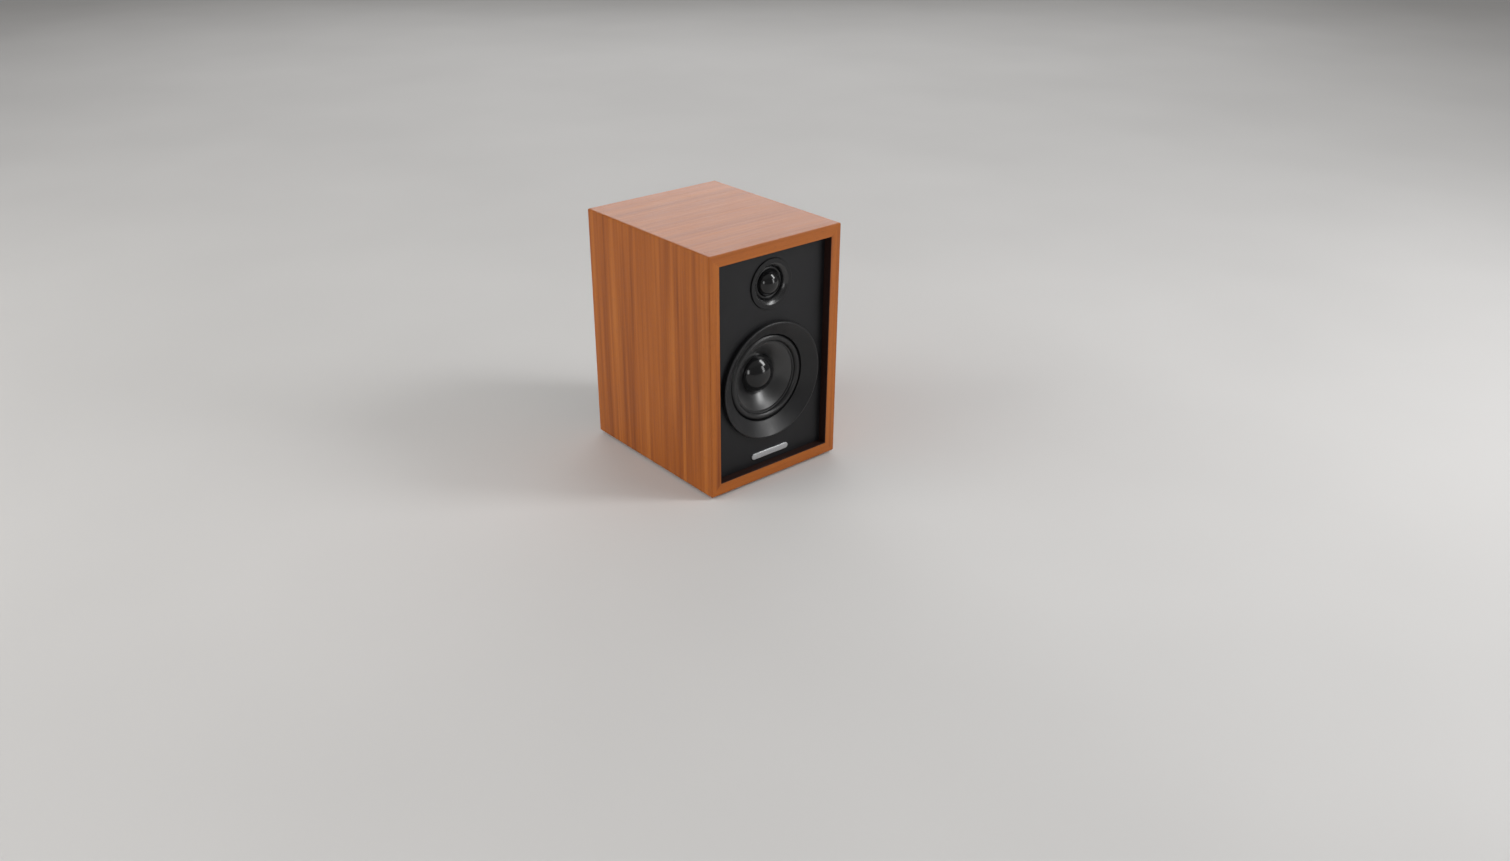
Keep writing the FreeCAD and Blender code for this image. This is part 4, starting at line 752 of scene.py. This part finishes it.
def dress_drivers():
    """Both drivers."""
    trim = moulded(
        "trim_plastic", shade(22, 22, 24), 0.4, 0.35, 0.012, 0.06, specular_ior_level=0.45
    )
    cone = moulded(
        "cone_plastic", shade(17, 17, 19), 0.31, 0.5, 0.006, 0.06, specular_ior_level=0.9
    )
    steel = moulded("plated_steel", shade(176, 180, 186), 0.34, 1.2, 0.01, metallic=1.0)
    copper = wound("voice_coil_wire", Y, 0.3)
    gasket = foam("gasket_foam")
    dress([
        (trim, "woofer_trim_ring"),
        (gasket, "woofer_rear_gasket woofer_front_gasket terminal_cup_gasket"),
        (moulded("basket_paint", shade(30, 30, 32), 0.4, 0.7, 0.04), "woofer_basket"),
        (steel, "woofer_top_plate woofer_yoke tweeter_pole_plate tweeter_pot tweeter_clamp_ring"),
        (moulded("ferrite", shade(62, 62, 64), 0.6, 0.5, 0.05), "woofer_magnet"),
        (cone, "woofer_cone"),
        (moulded("cap_gloss", shade(11, 11, 13), 0.13, 3.0, 0.002, 0.05), "woofer_dust_cap"),
        (moulded("dome_gloss", shade(12, 12, 14), 0.14, 3.0, 0.002, 0.05), "tweeter_dome"),
        (brushed("former_foil", shade(206, 206, 208), 0.26, (6, 0.4, 6)), "woofer_coil_former"),
        (copper, "woofer_coil_winding tweeter_voice_coil"),
        (moulded("nickel", shade(206, 204, 198), 0.16, 2.0, 0.003, metallic=1.0), "tweeter_magnet"),
        (moulded("phenolic_strip", shade(128, 78, 40), 0.5, 0.5, 0.03), "driver_terminal_strips"),
    ])
    rim = moulded(
        "faceplate_rim", shade(18, 18, 20), 0.42, 0.4, 0.012, 0.06, specular_ior_level=0.3
    )
    flare = moulded(
        "faceplate_flare", shade(17, 17, 19), 0.26, 0.5, 0.006, 0.06, specular_ior_level=0.8
    )
    dress_faceplate(rim, flare)
    woofer_surround(moulded("surround_rubber", shade(16, 16, 18), 0.34, 0.4, 0.012, 0.06))
    woofer_spider(woven("spider_cloth", shade(206, 168, 96), shade(186, 146, 78), 0.55))
    tweeter_surround(moulded("tweeter_surround_skin", shade(17, 17, 19), 0.35, 0.3, 0.01, 0.06))
    tinsel_leads(moulded("tinsel_copper", shade(214, 138, 92), 0.32, 0.25, 0.03, metallic=1.0))


def dress_back():
    """The port, the terminal cup and the binding posts."""
    gold = moulded("gold_plate", shade(232, 190, 104), 0.18, 1.5, 0.005, metallic=1.0)
    red = moulded("red_plastic", shade(178, 18, 20), 0.22, 0.8, 0.01, 0.06, coat_weight=0.3)
    black = moulded("black_plastic", shade(20, 20, 22), 0.22, 0.8, 0.01, 0.06, coat_weight=0.3)
    dress([
        (gold, "red_post_stud black_post_stud red_post_washer black_post_washer"),
        (gold, "post_nuts post_solder_tags driver_tabs"),
        (red, "red_post_collar red_post_cap"),
        (black, "black_post_collar black_post_cap"),
        (moulded("port_plastic", shade(22, 22, 24), 0.45, 0.5, 0.03), "port_tube"),
        (marked_plastic("cup_plastic"), "terminal_cup"),
    ])


def dress_crossover():
    """The crossover board, its parts and the leads."""
    deck = span("crossover_board", Z)[1]
    lower, upper = deck + 1.5, span("crossover_inductors", Z)[1] - 1.5
    windings = ((-40, 2, lower, upper), (2.5, 30, lower, deck + 10.5))
    cans = two_tone("capacitor_cases", X, 10, shade(30, 34, 58), shade(214, 166, 52), 0.3)
    dress([
        (circuit("circuit_board"), "crossover_board"),
        (wound("inductor_wire", Z, 0.8, windings), "crossover_inductors"),
        (cans, "crossover_capacitors"),
        (moulded("cement", shade(226, 224, 214), 0.85, 0.6, 0.1), "crossover_resistor"),
        (moulded("nylon", shade(224, 222, 210), 0.45, 0.6, 0.02), "crossover_standoffs"),
    ])
    red = moulded("red_sleeve", shade(168, 24, 24), 0.42, 0.7, 0.02)
    black = moulded("black_sleeve", shade(24, 24, 26), 0.42, 0.7, 0.02)
    for name in ("input_leads", "woofer_leads", "tweeter_leads"):
        dress_pair(name, (red, black))


# Stage --------------------------------------------------------------------------------------------


def area_light(name, towards, distance, size, radiance, colour=(1, 1, 1), spread=180):
    """A soft rectangular light in a direction from the cabinet's middle, facing it. Its sizes and
    distance are in metres, and a spread below 180 degrees keeps its light off the floor around
    it."""
    data = bpy.data.lights.new(name, "AREA")
    data.shape = "RECTANGLE"
    data.size, data.size_y = size
    data.energy, data.color = radiance * math.pi * size[0] * size[1], colour
    data.spread = math.radians(spread)
    light = bpy.data.objects.new(name, data)
    way = Vector(towards).normalized()
    light.location = Vector((0, 0, CABINET_MIDDLE * MM)) + way * distance
    light.rotation_euler = (-way).to_track_quat("-Z", "Y").to_euler()
    bpy.context.scene.collection.objects.link(light)


def floor():
    """A pale matt floor that fills the view."""
    look = Look("floor_paint", specular_ior_level=0.1)
    cloud = look.noise(400, 2)
    look.paint(look.ramp(cloud, (0.3, shade(216, 215, 214)), (0.7, shade(221, 220, 219))), 0.9)
    reach = 9000
    corners = [(x * reach, y * reach, 0) for x, y in ((-1, -1), (1, -1), (1, 1), (-1, 1))]
    mesh = mesh_of("floor", corners, [(0, 1, 2, 3)])
    mesh.materials.append(look.material)
    piece = bpy.data.objects.new("floor", mesh)
    bpy.context.scene.collection.objects.link(piece)


def studio():
    """An even surround and soft lights: two tall windows in front, a skylight over the front right,
    a fill at the left, a broad dim ceiling and a pale panel behind, which gives the top its
    sheen."""
    world = bpy.data.worlds.new("surround")
    world.use_nodes = True
    background = world.node_tree.nodes["Background"]
    background.inputs["Color"].default_value = (1.0, 0.985, 0.965, 1)
    background.inputs["Strength"].default_value = 0.24
    bpy.context.scene.world = world
    area_light("window_right", (0.468, -0.856, 0.218), 1.9, (0.36, 0.9), 5)
    area_light("window_left", (-0.751, -0.63, 0.198), 1.9, (0.28, 0.6), 5)
    area_light("skylight", (0.57, -0.58, 0.58), 2.0, (0.42, 0.95), 11)
    area_light("side_fill", (-0.8, 0.3, 0.5), 2.2, (1.5, 1.5), 2.6, (1.0, 0.98, 0.95))
    area_light("panel_behind", (0.60, 0.74, 0.34), 3.8, (3.6, 1.5), 0.95, spread=100)
    area_light("ceiling", (0, 0, 1), 3.4, (8, 8), 0.12)


def camera():
    """The camera, above and in front of the cabinet's left side."""
    azimuth, elevation, roll = (math.radians(angle) for angle in (-39.51, 26.68, -0.07))
    level = math.cos(elevation)
    back = Vector((math.sin(azimuth) * level, -math.cos(azimuth) * level, math.sin(elevation)))
    data = bpy.data.cameras.new("camera")
    data.sensor_width, data.lens = 36.0, 30.03
    data.shift_x, data.shift_y = 0.0084, 0.0003
    data.clip_start, data.clip_end = 0.05, 50
    eye = bpy.data.objects.new("camera", data)
    bpy.context.scene.collection.objects.link(eye)
    eye.location = Vector((-719.8, -917.7, 598.2)) * MM
    eye.rotation_mode = "QUATERNION"
    eye.rotation_quaternion = (-back).to_track_quat("-Z", "Y") @ Quaternion((0, 0, 1), roll)
    bpy.context.scene.camera = eye


camera()
floor()
studio()
dress_cabinet()
dress_drivers()
dress_back()
dress_crossover()
damping_pads(fluffy("wadding"))
bpy.context.scene.view_settings.view_transform = "Standard"
